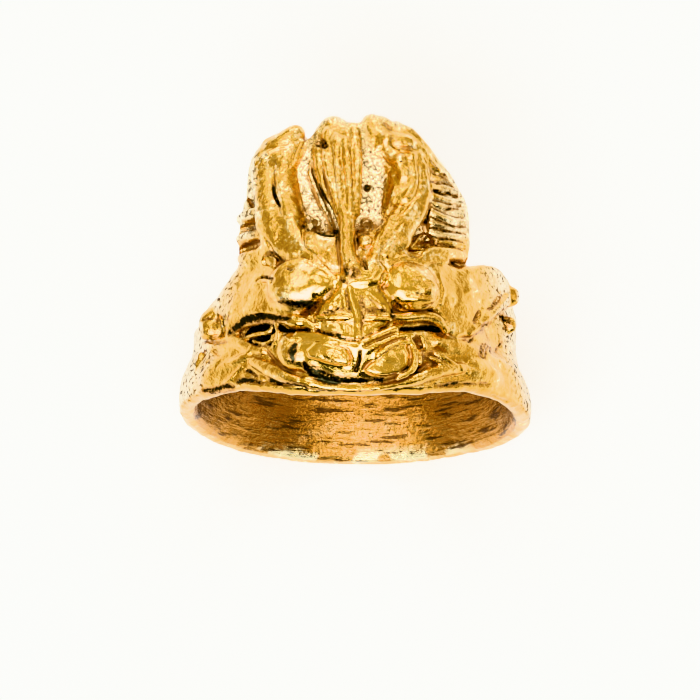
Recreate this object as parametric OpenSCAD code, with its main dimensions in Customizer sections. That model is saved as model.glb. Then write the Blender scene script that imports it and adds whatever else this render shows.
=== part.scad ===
// A cast ring for one finger: a flared band whose front carries a mask with a plumed crown.
// It lies on the flat under the back of its band, mask up. X runs across the mask, Y along the
// finger towards the crown, and Z up from the surface it lies on. Millimetres.

/* [Band] */
// Diameter of the finger hole
finger_d = 17.3; // [15:0.1:21]
// Thickness of the band's wall at its sides
band_wall = 0.85; // [0.7:0.05:1.3]
// How far the lower rim flares out beyond the finger hole
rim_flare = 1.75; // [1.4:0.05:2.2]
// Length of the band along the finger at the back
back_length = 7.6; // [6.5:0.1:9]
// How much the inside of the crown stands clear of the finger, beyond the band
crown_ease = 0.12; // [0.05:0.01:0.3]
// Thickness of the wall at the flat under the back
sole_wall = 1.35; // [1.2:0.05:1.7]

/* [Mask] */
// How high the relief stands, as a share of its modelled height
relief_share = 1; // [0.7:0.05:1.2]

/* [Hidden] */

hole_r = finger_d / 2;
axis_height = hole_r + sole_wall;
// The charts below are drawn on a finger hole of this radius, seen by an eye that leans back by
// this angle from straight above the mask, and unrolled at a fixed radius.
chart_r = 8.65;
chart_lean = 15;
unroll_r = 10;
least_wall = 0.62;
edge_round = 0.35;
flank_slope = 3;
// Angles from the mask's middle within which there is relief, and beyond which the flat can reach
mask_half = 80;
flat_from = 110;
// Height above the lower rim where the flare gives way to the plain band wall
flare_end = 4.6;
// How far a strand and a hollow can matter round their lines, and the height at which hollows are charted
strand_reach = 1.8;
hollow_reach = 0.7;
hollow_height = 1.8;
// Gaps between the outermost rows of the relief and the lower and upper edges
low_gap = 0.15;
high_gap = 0.05;
// How far the uncut body reaches inside the finger hole, where the hole then removes it, and where
// the middles of the uncut body's two ends lie along the finger
inner_end = 0.5;
low_middle = 3;
high_middle = 9;
// How far the cuts run past both ends of the ring
cut_reach = 20;

// The lower rim: angle round the finger from the mask's middle, and how far the rim drops or rises.
rim_line = [
    [-180, 0], [-135, 0.1], [-100, 0.4], [-80, 0.5], [-60, 0.2], [-40, -0.1], [-22, -0.75],
    [0, -1.0], [22, -0.75], [40, -0.1], [60, -0.05], [80, -0.15], [110, -0.1], [180, 0]
];

// The upper edge: angle, and length along the finger. It climbs over the wings to the crown.
upper_line = [
    [-180, back_length], [-140, 7.3], [-110, 6.3], [-85, 5.6], [-70, 5.4], [-62.9, 5.3], [-57.1, 5.8],
    [-51.3, 6.4], [-46.1, 6.9], [-45, 7.5], [-44.4, 8.7], [-43.6, 9.5], [-42.8, 10], [-40.5, 11],
    [-38.3, 11.8], [-37.2, 13.1], [-34.8, 13.9], [-31.3, 14.5], [-26.7, 15.1], [-23.6, 15.4],
    [-20.5, 15.6], [-18.1, 15.3], [-17.2, 14.6], [-16.3, 14.5], [-14.5, 14.8], [-13, 15.3], [-11, 15.8],
    [-6.9, 16.1], [-4.6, 16], [-2.3, 15.8], [0, 15.6], [2, 15.8], [3.4, 16.1], [5.7, 16.1], [9.2, 16],
    [13.9, 15.7], [18.7, 15.4], [22.3, 14.7], [26.1, 14.1], [30, 13.3], [34.1, 12.7], [36.9, 12.1],
    [39.4, 11.5], [41.3, 10.8], [42.1, 9.9], [42.4, 8.5], [43, 7.6], [50.4, 7.9], [55.1, 7.9],
    [59.3, 7.5], [64.2, 7.1], [71.8, 6.9], [90, 6.8], [120, 7.1], [180, back_length]
];

// The band's outside: height above the rim line, and wall as a share of the flare or the band wall.
flare_profile = [
    [0, 0.9], [0.3, 0.98], [0.7, 1], [1.4, 0.98], [2, 0.9], [2.6, 0.76], [3.2, 0.61], [3.8, 0.53],
    [4.6, 0.49], [6, 0.48]
];
// The inside of the lower rim, from the finger hole out to the lip: wall there, and height.
lip_inside = [[-inner_end, 3], [0.15, 2.1], [0.42, 1.1], [0.64, 0.4], [0.9, 0.1], [1.25, 0]];

// Strands of the crown and face. Each row: across, up the chart, height of the strand's middle
// above the finger hole, and the strand's radius.
strands = [
    // Middle feather, its ribs from left to right, and the nose below them
    [[-2.2, 16.7, 1.7, 0.35], [-2.2, 15.5, 1.95, 0.35], [-1.9, 14.2, 2.2, 0.33], [-1.45, 13, 2.35, 0.3],
     [-1.0, 11.9, 2.4, 0.3]],
    [[-1.75, 17.4, 1.75, 0.4], [-1.7, 15.6, 2.3, 0.38], [-1.4, 14, 2.6, 0.36], [-0.95, 12.4, 2.7, 0.34]],
    [[-1.1, 17.7, 1.8, 0.42], [-1.05, 16, 2.45, 0.4], [-0.9, 14.5, 2.75, 0.38], [-0.7, 12.6, 2.8, 0.34]],
    [[-0.45, 17.4, 1.8, 0.4], [-0.4, 16, 2.45, 0.4], [-0.35, 14.5, 2.7, 0.38], [-0.35, 12.6, 2.8, 0.34]],
    [[0.15, 17.3, 1.75, 0.36], [0.2, 16, 2.2, 0.36], [0.15, 14.5, 2.4, 0.34], [0, 12.4, 2.6, 0.32]],
    [[-0.5, 12.6, 2.7, 0.55], [-0.45, 11.2, 2.85, 0.5], [-0.42, 10, 2.95, 0.5], [-0.3, 9.2, 3.0, 0.62]],
    // Left plume, outer to inner
    [[-3.4, 17, 1.5, 0.45], [-4.3, 16.5, 1.5, 0.5], [-5.1, 15.6, 1.5, 0.55], [-5.5, 14.4, 1.7, 0.58],
     [-5.55, 13, 1.9, 0.6], [-5.3, 11.7, 2.0, 0.62], [-4.7, 10.5, 2.1, 0.65], [-3.8, 9.9, 2.2, 0.6]],
    [[-4.4, 15.8, 1.8, 0.45], [-4.8, 14.8, 2.0, 0.5], [-4.95, 13.6, 2.2, 0.5], [-4.8, 12.4, 2.3, 0.55],
     [-4.2, 11.2, 2.4, 0.65], [-3.2, 10.2, 2.5, 0.65], [-2.2, 9.6, 2.6, 0.55], [-1.4, 8.9, 2.6, 0.45]],
    [[-3.5, 16.2, 1.7, 0.3], [-4, 15.2, 2.0, 0.4], [-4.15, 14, 2.2, 0.42], [-4, 12.8, 2.3, 0.42],
     [-3.6, 11.6, 2.45, 0.45], [-2.9, 10.7, 2.6, 0.45], [-2, 10.3, 2.7, 0.42], [-1.2, 10.3, 2.7, 0.35]],
    // Right plume, outer to inner
    [[0.95, 17.6, 1.6, 0.45], [1.9, 17.3, 1.65, 0.5], [2.8, 16.6, 1.7, 0.55], [3.5, 15.6, 1.8, 0.58],
     [3.8, 14.2, 2.0, 0.6], [3.8, 12.9, 2.1, 0.6], [3.3, 11.7, 2.3, 0.62], [2.5, 10.8, 2.5, 0.6],
     [1.7, 10, 2.6, 0.5], [1.3, 9.1, 2.6, 0.42]],
    [[0.75, 17.1, 1.75, 0.35], [1.5, 16.6, 1.9, 0.42], [2.4, 15.7, 2.05, 0.46], [2.9, 14.5, 2.3, 0.48],
     [2.9, 13.2, 2.4, 0.48], [2.5, 12, 2.5, 0.5], [1.8, 11, 2.6, 0.48], [1.2, 10.2, 2.6, 0.4]],
    [[0.75, 16.7, 1.7, 0.28], [1.35, 16, 1.85, 0.32], [1.95, 15.2, 2.0, 0.34], [2.25, 14.2, 2.1, 0.35],
     [2.2, 13.1, 2.15, 0.35], [1.9, 12.1, 2.2, 0.35]],
    // Bar below the right fan
    [[2.8, 9.8, 1.9, 0.35], [3.8, 9.6, 1.7, 0.4], [4.8, 9.75, 1.5, 0.42], [5.7, 9.7, 1.2, 0.4]],
    // Lower edge of the left wing, and the rolled edge of the right wing
    [[-7.5, 5.6, 1.2, 0.3], [-6.6, 6.3, 1.7, 0.35], [-5.4, 6.75, 2.1, 0.38], [-4.3, 6.85, 2.3, 0.38]],
    [[5.3, 5.6, 1.9, 0.42], [6.1, 5.3, 1.9, 0.45], [7, 5.7, 1.7, 0.4], [7.8, 6.2, 1.4, 0.36],
     [8.5, 6.9, 1.1, 0.34], [9, 7.5, 0.8, 0.34]],
    // Ledge on each side of the nose shield
    [[2.2, 6.15, 2.5, 0.3], [3.5, 6.1, 2.4, 0.3], [4.6, 6.2, 2.2, 0.3], [5.2, 5.7, 2.0, 0.3]],
    [[-2.4, 5.75, 2.6, 0.3], [-3.3, 5.95, 2.4, 0.28], [-4.2, 6.15, 2.2, 0.26]],
    // Ridges of the nose shield
    [[-0.3, 8, 3.25, 0.25], [-0.1, 7, 3.6, 0.26], [0.05, 6, 3.7, 0.26], [0.1, 5, 3.4, 0.25]],
    [[-2.2, 6.3, 3.05, 0.22], [-0.1, 6.3, 3.65, 0.24], [2, 6.25, 3.1, 0.22]],
    // Upper lips, left and right
    [[-3.6, 5.2, 2.3, 0.35], [-2.2, 5.0, 2.75, 0.35], [-1, 4.55, 3.1, 0.35], [-0.2, 4.3, 3.1, 0.3]],
    [[0.4, 4.4, 3.1, 0.3], [1.3, 5.0, 3.0, 0.34], [2.3, 5.4, 2.7, 0.34]],
    // Jowls that run down into the rim
    [[-4.7, 4.7, 1.9, 0.45], [-4.5, 3.9, 2.1, 0.45], [-3.9, 3.3, 2.2, 0.42], [-3, 2.8, 2.2, 0.4]],
    [[3, 5, 2.4, 0.3], [3.9, 4.8, 2.2, 0.35], [4.0, 4.0, 2.1, 0.38], [3.4, 3.1, 2.1, 0.38]],
    [[-6.4, 3.6, 1.1, 0.3], [-5.2, 2.9, 1.6, 0.32], [-3.6, 2.45, 1.9, 0.3], [-1.6, 2.25, 2.0, 0.26]],
    [[6.6, 3.3, 1.1, 0.3], [5.4, 3.5, 1.4, 0.32], [4.5, 4.0, 1.7, 0.3]]
];

// Pads: across, up the chart, half width, half height, turn, height of the middle, thickness above
// the middle, and squareness from 2, an ellipse, to 4, a rounded box.
pads = [
    // Crown dome, and the plinth behind the face
    [-0.2, 13.6, 8.8, 6.9, 0, 0.2, 1.2, 5],
    [0, 5.6, 8.6, 4.2, 0, 0.3, 1.9, 2.4],
    // Left and right eye
    [-2.9, 7.95, 1.8, 1.55, -12, 2.1, 1.9, 2.3],
    [3.1, 8.0, 1.72, 1.45, -14, 2.1, 1.85, 2.3],
    // Nose shield and its four lobes
    [-0.1, 6.4, 2.35, 1.75, 0, 2.3, 1.2, 3],
    [-1.05, 5.65, 0.85, 0.5, 0, 3.0, 0.75, 2],
    [1.05, 5.6, 0.85, 0.42, 12, 3.0, 0.7, 2],
    [-1.05, 7.05, 0.9, 0.5, 25, 2.9, 0.75, 2],
    [1.0, 7.05, 0.9, 0.6, -20, 2.9, 0.75, 2],
    // Muzzle and its two lips
    [-0.3, 3.9, 3.9, 1.75, 0, 1.5, 1.25, 2.6],
    [-1.4, 4.0, 1.5, 0.9, -14, 2.5, 1.25, 2.2],
    [1.9, 3.85, 1.55, 0.9, 18, 2.5, 1.25, 2.2],
    // Wings
    [-6.9, 7.1, 3.6, 1.75, 14, 0.6, 1.35, 3],
    [7.1, 7.5, 3.9, 1.9, -6, 0.5, 1.35, 3.4],
    [4.9, 7.6, 1.6, 1.8, 0, 1.1, 1.2, 3],
    // Small balls at the sides, and one beside the nose
    [-8.4, 5.5, 0.68, 0.68, 0, 0.7, 0.6, 2],
    [9.5, 7.35, 0.55, 0.5, 0, 0.5, 0.5, 2],
    [0.5, 10.6, 0.45, 0.45, 0, 2.3, 0.45, 2]
];

// Hollows: rows of across, up the chart, depth and radius, cut along a line.
hollows = [
    // Slits on each side of the nose shield, and the cave under the left wing
    [[2.7, 5.55, 1.0, 0.3], [4.9, 5.6, 1.2, 0.36]],
    [[-3.4, 5.55, 0.8, 0.26], [-4.5, 5.75, 1.1, 0.32]],
    [[-4.9, 5.4, 1.5, 0.5], [-5.8, 5.3, 1.5, 0.5]],
    // Slit between the lips, the slit under the nose shield, and the folds round the muzzle
    [[0.3, 4.2, 0.9, 0.32], [0.1, 3.0, 0.9, 0.32]],
    [[-2.4, 5.25, 0.5, 0.3], [-0.6, 4.75, 0.6, 0.3], [0.5, 4.7, 0.6, 0.3], [1.9, 5.3, 0.5, 0.3]],
    [[-4.9, 4.0, 0.6, 0.35], [-4.2, 3.2, 0.7, 0.35], [-2.9, 2.6, 0.7, 0.32], [-1, 2.2, 0.5, 0.3]],
    [[4.4, 3.6, 0.6, 0.35], [3.5, 2.9, 0.7, 0.32], [2.4, 2.5, 0.6, 0.3]],
    // Eye pockets in the crown
    [[-2.9, 11.6, 0.7, 0.4], [-1.5, 11.3, 0.8, 0.4]],
    [[0.75, 11.6, 0.5, 0.35], [0.7, 11.5, 0.5, 0.35]],
    // Hollow below the right plume, and the pit below the left fan
    [[3.3, 10.25, 1.0, 0.4], [4.1, 10.6, 1.2, 0.45]],
    [[-5.2, 9.5, 0.8, 0.42], [-5.15, 9.5, 0.8, 0.42]],
    // Grooves between the ribs of the fans
    [[-6.9, 11.35, 0.5, 0.26], [-5.9, 11.65, 0.6, 0.26]],
    [[-6.9, 10.1, 0.5, 0.26], [-5.5, 10.5, 0.6, 0.26]],
    for (i = [0 : 5]) [[4.6, 10.6 + 0.72 * i, 0.35, 0.2], [6.6 - 0.09 * i * i, 9.9 + 0.74 * i, 0.3, 0.2]],
    // Hole at the right side
    [[8.7, 6.2, 0.5, 0.3], [9.0, 5.7, 0.5, 0.3]]
];

// A charted point as [arc, along, height]: the chart leans back from the finger by chart_lean.
function charted(across, up, h) =
    let (r = chart_r + h, front = sqrt(max(0.01, r * r - across * across)))
    [asin(max(-1, min(1, across / r))) * unroll_r * PI / 180, (up - front * sin(chart_lean)) / cos(chart_lean)];

// Every strand and hollow as straight runs: start, end, two heights and two radii.
function runs(rows_list, is_hollow) = [
    for (rows = rows_list) for (i = [0 : len(rows) - 2])
        let (p = rows[i], q = rows[i + 1], h0 = is_hollow ? hollow_height : p[2],
             h1 = is_hollow ? hollow_height : q[2])
        [charted(p[0], p[1], h0), charted(q[0], q[1], h1), p[2], q[2], p[3], q[3]]
];
strand_runs = runs(strands, false);
hollow_runs = runs(hollows, true);
placed_pads = [for (p = pads) [charted(p[0], p[1], p[5] + p[6]), p]];

// How far a run reaches above the finger hole at a point, or how deep it cuts there.
function near(run, at, reach) =
    abs(at[0] - (run[0][0] + run[1][0]) / 2) < abs(run[1][0] - run[0][0]) / 2 + reach
    && abs(at[1] - (run[0][1] + run[1][1]) / 2) < abs(run[1][1] - run[0][1]) / 2 + reach;
function share(run, at) =
    let (d = run[1] - run[0])
    max(0, min(1, (at - run[0]) * d / (d * d)));
function off_line(run, at) = norm(at - run[0] - share(run, at) * (run[1] - run[0]));
function blend_pair(run, at, first) = run[first] + share(run, at) * (run[first + 1] - run[first]);
function strand_top(run, at) =
    let (off = off_line(run, at), r = blend_pair(run, at, 4), middle = blend_pair(run, at, 2))
    off < r ? middle + r - off * off / r : middle - flank_slope * (off - r);
function hollow_depth(run, at) =
    let (part = off_line(run, at) / blend_pair(run, at, 4))
    part < 1 ? blend_pair(run, at, 2) * (1 - part * part) : 0;
function pad_top(placed, at) =
    let (p = placed[1], d = at - placed[0], turn = p[4], power = p[7],
         x = abs(d[0] * cos(turn) + d[1] * sin(turn)) / p[2], y = abs(d[1] * cos(turn) - d[0] * sin(turn)) / p[3],
         part = x > 5 || y > 5 ? 5 : pow(pow(x, power) + pow(y, power), 1 / power))
    part < 1 ? p[5] + p[6] * pow(1 - pow(part, power), 1 / power)
        : part < 5 ? p[5] - flank_slope * (part - 1) * min(p[2], p[3]) : 0;

function relief(at) =
    let (tops = [for (run = strand_runs) if (near(run, at, strand_reach)) strand_top(run, at)],
         mounds = [for (p = placed_pads) pad_top(p, at)],
         cuts = [for (run = hollow_runs) if (near(run, at, hollow_reach)) hollow_depth(run, at)])
    relief_share * (max(concat([0], tops, mounds)) - max(concat([0], cuts)));

// The plain band below the relief. Its back is thicker, to carry the flat that it lies on.
back_wall = [[0, 2], [20, 2], [46, 0]];
function band(angle, along) =
    let (rise = along - lookup(angle, rim_line), flare = rim_flare * lookup(rise, flare_profile),
         sides = rise > flare_end ? band_wall : flare)
    max(sides, lookup(180 - abs(angle), back_wall) * lookup(rise, [[0, 0.6], [0.5, 1]]));
function flattened(angle, r) = abs(angle) > flat_from ? min(r, axis_height / cos(180 - abs(angle))) : r;

// How near a point is to the upper edge, as a share of the edge's rounding.
function edge_share(angle, along) =
    let (slope = (lookup(angle + 1, upper_line) - lookup(angle - 1, upper_line)) / (unroll_r * PI / 90))
    max(0, min(1, (lookup(angle, upper_line) - along) / sqrt(1 + slope * slope) / edge_round));
function outside(angle, along, wall) =
    let (round_off = sqrt(1 - pow(1 - edge_share(angle, along), 2)))
    flattened(angle, hole_r + least_wall + (max(wall, least_wall) - least_wall) * round_off);

// Columns stand round the finger, close together over the mask, and each has the same rows.
columns = concat(
    [for (a = [-180 : 10 : -160]) a], [for (a = [-150 : 10 : -90]) a], [for (a = [-82 : 5 : -52]) a],
    [for (a = [-48 : 1.6 : 48]) a],
    [for (a = [52 : 5 : 82]) a], [for (a = [90 : 10 : 170]) a]
);
outer_rows = 48;
function height_at(angle, row) =
    let (low = lookup(angle, rim_line))
    low + low_gap + row / outer_rows * (lookup(angle, upper_line) - low - low_gap - high_gap);
heights = [for (angle = columns) [for (row = [0 : outer_rows])
    let (along = height_at(angle, row))
    max(band(angle, along), abs(angle) < mask_half ? relief([angle * unroll_r * PI / 180, along]) : 0)]];

// Each height softened by its eight neighbours, as a casting softens the wax.
function softened(c, row) =
    let (n = len(columns), left = heights[(c + n - 1) % n], mid = heights[c], right = heights[(c + 1) % n],
         below = max(0, row - 1), above = min(outer_rows, row + 1))
    (10 * mid[row] + 2 * (mid[below] + mid[above] + left[row] + right[row])
        + left[below] + left[above] + right[below] + right[above]) / 22;

// One column from the inside of the lip, up the outside, to the inside of the upper edge.
function column(c) =
    let (angle = columns[c], low = lookup(angle, rim_line), high = lookup(angle, upper_line))
    concat(
        [for (p = lip_inside) [hole_r + p[0], low + p[1]]],
        [for (row = [0 : outer_rows]) let (along = height_at(angle, row), front = abs(angle) < mask_half)
            [outside(angle, along, front ? softened(c, row) : heights[c][row]), along]],
        [[hole_r + least_wall * 0.6, high], [hole_r - inner_end, high]]
    );

module cast_body() {
    profiles = [for (c = [0 : len(columns) - 1]) column(c)];
    n = len(profiles[0]);
    count = len(columns);
    points = concat(
        [for (c = [0 : count - 1]) for (p = profiles[c])
            [p[0] * sin(columns[c]), p[1], axis_height + p[0] * cos(columns[c])]],
        [[0, low_middle, axis_height], [0, high_middle, axis_height]]
    );
    skin = [for (c = [0 : count - 1]) for (k = [0 : n - 2]) let (a = c * n + k, b = (c + 1) % count * n + k)
        each [[a, a + 1, b + 1], [a, b + 1, b]]];
    low_end = [for (c = [0 : count - 1]) [count * n, c * n, (c + 1) % count * n]];
    high_end = [for (c = [0 : count - 1]) [count * n + 1, (c + 1) % count * n + n - 1, c * n + n - 1]];
    polyhedron(points = points, faces = concat(skin, low_end, high_end), convexity = 6);
}

// A round cut along the finger, from a point along it towards the crown.
module finger_cut(r, from) {
    translate([0, from, axis_height]) rotate([-90, 0, 0]) cylinder(r = r, h = cut_reach - from, $fn = 96);
}

// The origin is the middle of the flat, half way along the back.
module mask_ring() {
    color("goldenrod") translate([0, -back_length / 2, 0]) difference() {
        cast_body();
        finger_cut(hole_r, -cut_reach);
        finger_cut(hole_r + crown_ease, back_length);
    }
}

mask_ring();
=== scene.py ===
"""A cast gold ring whose front carries a mask with a plumed crown, lying on the back of its band.

The relief is built as one solid on a grid of signed distances, in millimetres, from charts of its
strands, mounds and grooves. It is then meshed, weathered and given a cast gold finish, with
shade painted into its hollows and cuts, and highlights and sheen painted onto some places.
"""

import math
from types import SimpleNamespace

import bpy
import numpy as np
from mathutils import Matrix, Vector


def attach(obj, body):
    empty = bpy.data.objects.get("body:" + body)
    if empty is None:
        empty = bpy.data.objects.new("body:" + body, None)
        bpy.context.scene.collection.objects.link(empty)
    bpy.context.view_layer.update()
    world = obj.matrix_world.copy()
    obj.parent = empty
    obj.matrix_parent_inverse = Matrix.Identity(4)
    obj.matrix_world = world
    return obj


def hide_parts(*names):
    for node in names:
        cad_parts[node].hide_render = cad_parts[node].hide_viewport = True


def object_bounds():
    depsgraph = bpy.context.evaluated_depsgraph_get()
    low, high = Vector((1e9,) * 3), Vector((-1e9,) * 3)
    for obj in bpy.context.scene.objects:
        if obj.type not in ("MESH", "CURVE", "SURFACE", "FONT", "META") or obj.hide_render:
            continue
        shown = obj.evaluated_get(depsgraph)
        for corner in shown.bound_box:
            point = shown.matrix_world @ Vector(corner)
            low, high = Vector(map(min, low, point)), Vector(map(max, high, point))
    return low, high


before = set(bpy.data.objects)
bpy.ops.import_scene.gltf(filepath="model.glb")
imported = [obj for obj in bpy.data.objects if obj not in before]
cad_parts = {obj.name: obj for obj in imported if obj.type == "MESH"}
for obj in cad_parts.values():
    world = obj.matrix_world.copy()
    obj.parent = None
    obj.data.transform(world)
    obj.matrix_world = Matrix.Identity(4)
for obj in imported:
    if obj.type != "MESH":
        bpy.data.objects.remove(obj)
CAD_LOW, CAD_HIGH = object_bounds()

MM = 0.001
# The finger hole's radius, the height of its axis, and the length of the band at the back, in mm.
HOLE_R = 8.65
AXIS_Z = 10.0
BACK_LENGTH = 7.6
ORIGIN_Y = BACK_LENGTH / 2
# The charts are drawn as the camera sees them: across, and up a plane that leans back by this.
CHART_LEAN = math.radians(15)
LEAN_COS, LEAN_SIN = math.cos(CHART_LEAN), math.sin(CHART_LEAN)
GRID_STEP = 0.085
TRIANGLE_LIMIT = 194000
# Where the search for the charted surface starts above the finger hole, where it ends, and its step.
SEARCH_TOP, SEARCH_FOOT, SEARCH_STEP = 5.4, -0.3, 0.06
# How far outside a shape its painted shade starts, and how far inside it has its full strength.
SHADE_EDGE, SHADE_FULL = 0.13, -0.11
# The crown's plate: its least and greatest thickness, and the angle at each side where it has ended.
PLATE_THIN, PLATE_THICK, PLATE_ANGLE = 1.2, 2.15, 52
# Thickness of the muzzle, the nose shield and the lips, down from their tops.
MUZZLE_THICK, SHIELD_THICK, LIP_THICK = 2.0, 1.6, 0.8
# How softly the facets join, and how round their edges are.
FACET_BLEND, FACET_EDGE = 0.12, 0.25
# How softly the pits and scratches join, and how dark the shade painted into the hollows and the
# scratches is.
FINE_BLEND = 0.03
HOLLOW_DARKNESS, SCRATCH_DARKNESS = 0.36, 3.5
# Depth and radius of a scratch at its ends and in the middle, and how far it bows to the left there.
SCRATCH_END, SCRATCH_MIDDLE, SCRATCH_BOW = (0.06, 0.05), (0.1, 0.06), 0.05
# Lumps of the cast skin: how far they stand out, and how far apart they are. Inside the finger
# hole they keep only this share of it.
WEAR = [(0.045, 0.85), (0.026, 0.38), (0.05, 2.3)]
INNER_WEAR = 0.15
# How far out from each point the finish looks for other metal, to tell how enclosed the point is.
REACHES = (0.1, 0.2, 0.35, 0.6)


# Charts. Heights, "top", are above the wall of the finger hole.

# Angle round the finger from the mask's middle, and how far the lower rim drops or rises.
RIM_LINE = [
    (-180, 0), (-135, 0.1), (-100, 0.4), (-80, 0.5), (-60, 0.2), (-40, -0.1), (-22, -0.75),
    (0, -1.0), (22, -0.75), (40, -0.1), (60, -0.05), (80, -0.15), (110, -0.1), (180, 0),
]
# Angle, and length along the finger of the upper edge of the plate behind the relief.
UPPER_LINE = [
    (-180, BACK_LENGTH), (-140, 7.3), (-110, 6.3), (-85, 5.6), (-70, 5.4), (-62.9, 5.3), (-57.1, 5.8),
    (-51.3, 6.4), (-46.1, 6.9), (-45, 7.5), (-44.4, 8.7), (-43.6, 9.5), (-42.8, 10), (-40.5, 11),
    (-38.3, 11.8), (-37.2, 13.1), (-34.8, 13.9), (-31.3, 14.5), (-26.7, 15.0), (-23.6, 15.2),
    (-20.5, 15.3), (-18.1, 15.0), (-17.2, 14.5), (-16.3, 14.4), (-14.5, 14.7), (-13, 15.1), (-11, 15.5),
    (-6.9, 15.8), (-4.6, 15.7), (-2.3, 15.5), (0, 15.4), (2, 15.5), (3.4, 15.8), (5.7, 15.9),
    (9.2, 15.8), (13.9, 15.4), (18.7, 15.1), (22.3, 14.5), (26.1, 13.9), (30, 13.2), (34.1, 12.6),
    (36.9, 12.0), (39.4, 11.4), (41.3, 10.7), (42.1, 9.9), (42.4, 8.5), (43, 7.6), (50.4, 7.9),
    (55.1, 7.9), (59.3, 7.5), (64.2, 7.1), (71.8, 6.9), (90, 6.8), (120, 7.1), (180, BACK_LENGTH),
]
# Height above the rim line, and the band's wall there.
BAND_WALL = [
    (0, 1.5), (0.3, 1.7), (0.7, 1.75), (1.4, 1.71), (2, 1.57), (2.6, 1.33), (3.2, 1.07), (3.8, 0.93),
    (4.6, 0.86), (6, 0.84), (9, 0.84),
]
# Height above the rim line, and how far the inside opens out beyond the finger hole.
LIP_INSIDE = [(0, 1.25), (0.1, 0.9), (0.4, 0.64), (1.1, 0.42), (2.1, 0.1), (2.6, 0)]
# Angle from the back, and the thicker wall there that carries the flat.
BACK_WALL = [(0, 1.95), (20, 1.95), (46, 0.6), (180, 0)]

# Broad shapes under the rest. A mound is across, up, half width, half height, turn, top, thickness from
# the middle up, squareness from 2, an ellipsoid, to 4, a rounded box, and how softly it joins.
BASES = [
    (-0.2, 5.2, 5.3, 3.3, 0, 2.35, 2.6, 2.2, 0.8),
    (-5.2, 4.4, 3.0, 2.2, 0, 1.65, 1.3, 2.2, 0.8),
    (5.2, 4.5, 3.0, 2.1, 0, 1.7, 1.3, 2.2, 0.8),
    (0.1, 9.6, 2.6, 1.75, 0, 3.15, 1.7, 3.0, 0.35),
    (-3.7, 10.2, 1.9, 1.5, 20, 2.75, 1.5, 2.4, 0.5),
    (-5.4, 9.5, 1.3, 0.75, 0, 2.15, 1.2, 2.4, 0.6),
    (-8.0, 5.7, 0.8, 1.0, 0, 1.8, 1.2, 2.4, 0.4),
]

# Sheets: an outline, and rows of across, up and top, and of thickness where it is uneven.
WING_LEFT = (
    [(-4.3, 9.25), (-5.2, 9.15), (-6.0, 9.2), (-6.9, 9.25), (-7.35, 8.5), (-8.0, 7.6), (-8.7, 6.6),
     (-8.95, 6.15), (-8.6, 6.1), (-8.1, 6.3), (-7.85, 6.2), (-7.72, 5.45), (-7.55, 5.2), (-7.4, 5.35),
     (-6.95, 5.82), (-6.2, 6.2), (-5.5, 6.42), (-4.9, 6.36), (-4.3, 6.2), (-3.7, 6.15), (-3.1, 6.35),
     (-2.9, 7.2), (-3.4, 8.6)],
    [(-4.4, 8.6, 2.7, 2.0), (-5.4, 8.0, 2.5, 2.0), (-5.4, 7.2, 2.55, 1.6), (-5.4, 6.55, 2.7, 0.6),
     (-4.6, 6.5, 2.85, 0.6), (-4.4, 7.4, 2.8, 2.0), (-3.5, 6.5, 3.0, 0.8), (-6.4, 7.7, 2.1, 1.5),
     (-6.3, 6.5, 2.5, 0.5), (-7.0, 6.9, 2.1, 0.9), (-7.1, 5.9, 2.2, 0.4), (-7.6, 5.3, 1.9, 0.4),
     (-7.3, 8.3, 1.4, 0.9), (-8.0, 7.2, 1.4, 0.8), (-8.7, 6.4, 1.2, 0.6), (-6.2, 9.0, 1.8, 1.2)],
)
WING_RIGHT = (
    [(3.6, 9.0), (4.4, 9.35), (5.0, 9.45), (5.5, 9.42), (6.14, 9.12), (6.8, 9.18), (7.55, 9.32),
     (8.1, 9.22), (8.6, 8.85), (9.05, 8.25), (9.28, 7.8), (9.3, 7.35), (9.1, 6.9), (8.85, 6.75),
     (8.6, 6.35), (8.14, 6.05), (7.72, 5.8), (7.3, 5.35), (6.8, 5.06), (6.4, 5.03), (5.96, 4.95),
     (5.45, 5.15), (5.2, 5.55), (4.9, 6.1), (4.3, 6.5), (3.9, 7.4)],
    [(4.6, 8.6, 2.7, 2.0), (5.0, 7.4, 2.75, 2.0), (5.2, 6.2, 2.6, 1.6), (5.7, 5.4, 2.45, 0.8),
     (6.3, 7.8, 2.4, 1.7), (6.2, 6.4, 2.45, 1.4), (6.6, 5.3, 2.25, 0.6), (7.4, 8.6, 1.9, 1.3),
     (7.4, 7.2, 2.05, 1.3), (7.3, 6.0, 2.15, 0.7), (8.2, 8.4, 1.6, 1.0), (8.3, 7.2, 1.75, 0.8),
     (8.4, 6.5, 1.75, 0.5), (9.0, 7.6, 1.35, 0.7), (6.0, 9.0, 2.0, 1.4)],
)
MUZZLE = (
    [(-3.9, 4.3), (-3.3, 4.95), (-2.0, 5.0), (-0.5, 4.85), (0.5, 4.85), (2.0, 5.1), (3.1, 4.9),
     (3.6, 4.2), (3.5, 3.4), (2.9, 2.7), (1.6, 2.25), (0.0, 2.15), (-1.4, 2.2), (-2.6, 2.5),
     (-3.4, 3.2)],
    [(-2.9, 4.7, 3.35), (-1.5, 4.7, 3.7), (0.0, 4.7, 3.8), (1.5, 4.7, 3.7), (2.7, 4.7, 3.35),
     (-3.5, 3.9, 3.0), (-2.6, 3.9, 3.15), (-1.3, 3.9, 3.4), (0.0, 3.9, 3.48), (1.4, 3.9, 3.4),
     (2.6, 3.9, 3.15), (3.3, 3.9, 2.95), (-3.1, 3.1, 2.65), (-2.2, 3.1, 2.85), (-1.1, 3.1, 3.0),
     (0.0, 3.1, 3.05), (1.2, 3.1, 3.0), (2.3, 3.1, 2.8), (-2.4, 2.4, 2.25), (-1.2, 2.4, 2.35),
     (0.0, 2.4, 2.4), (1.2, 2.4, 2.35), (2.2, 2.4, 2.25)],
)
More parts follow.
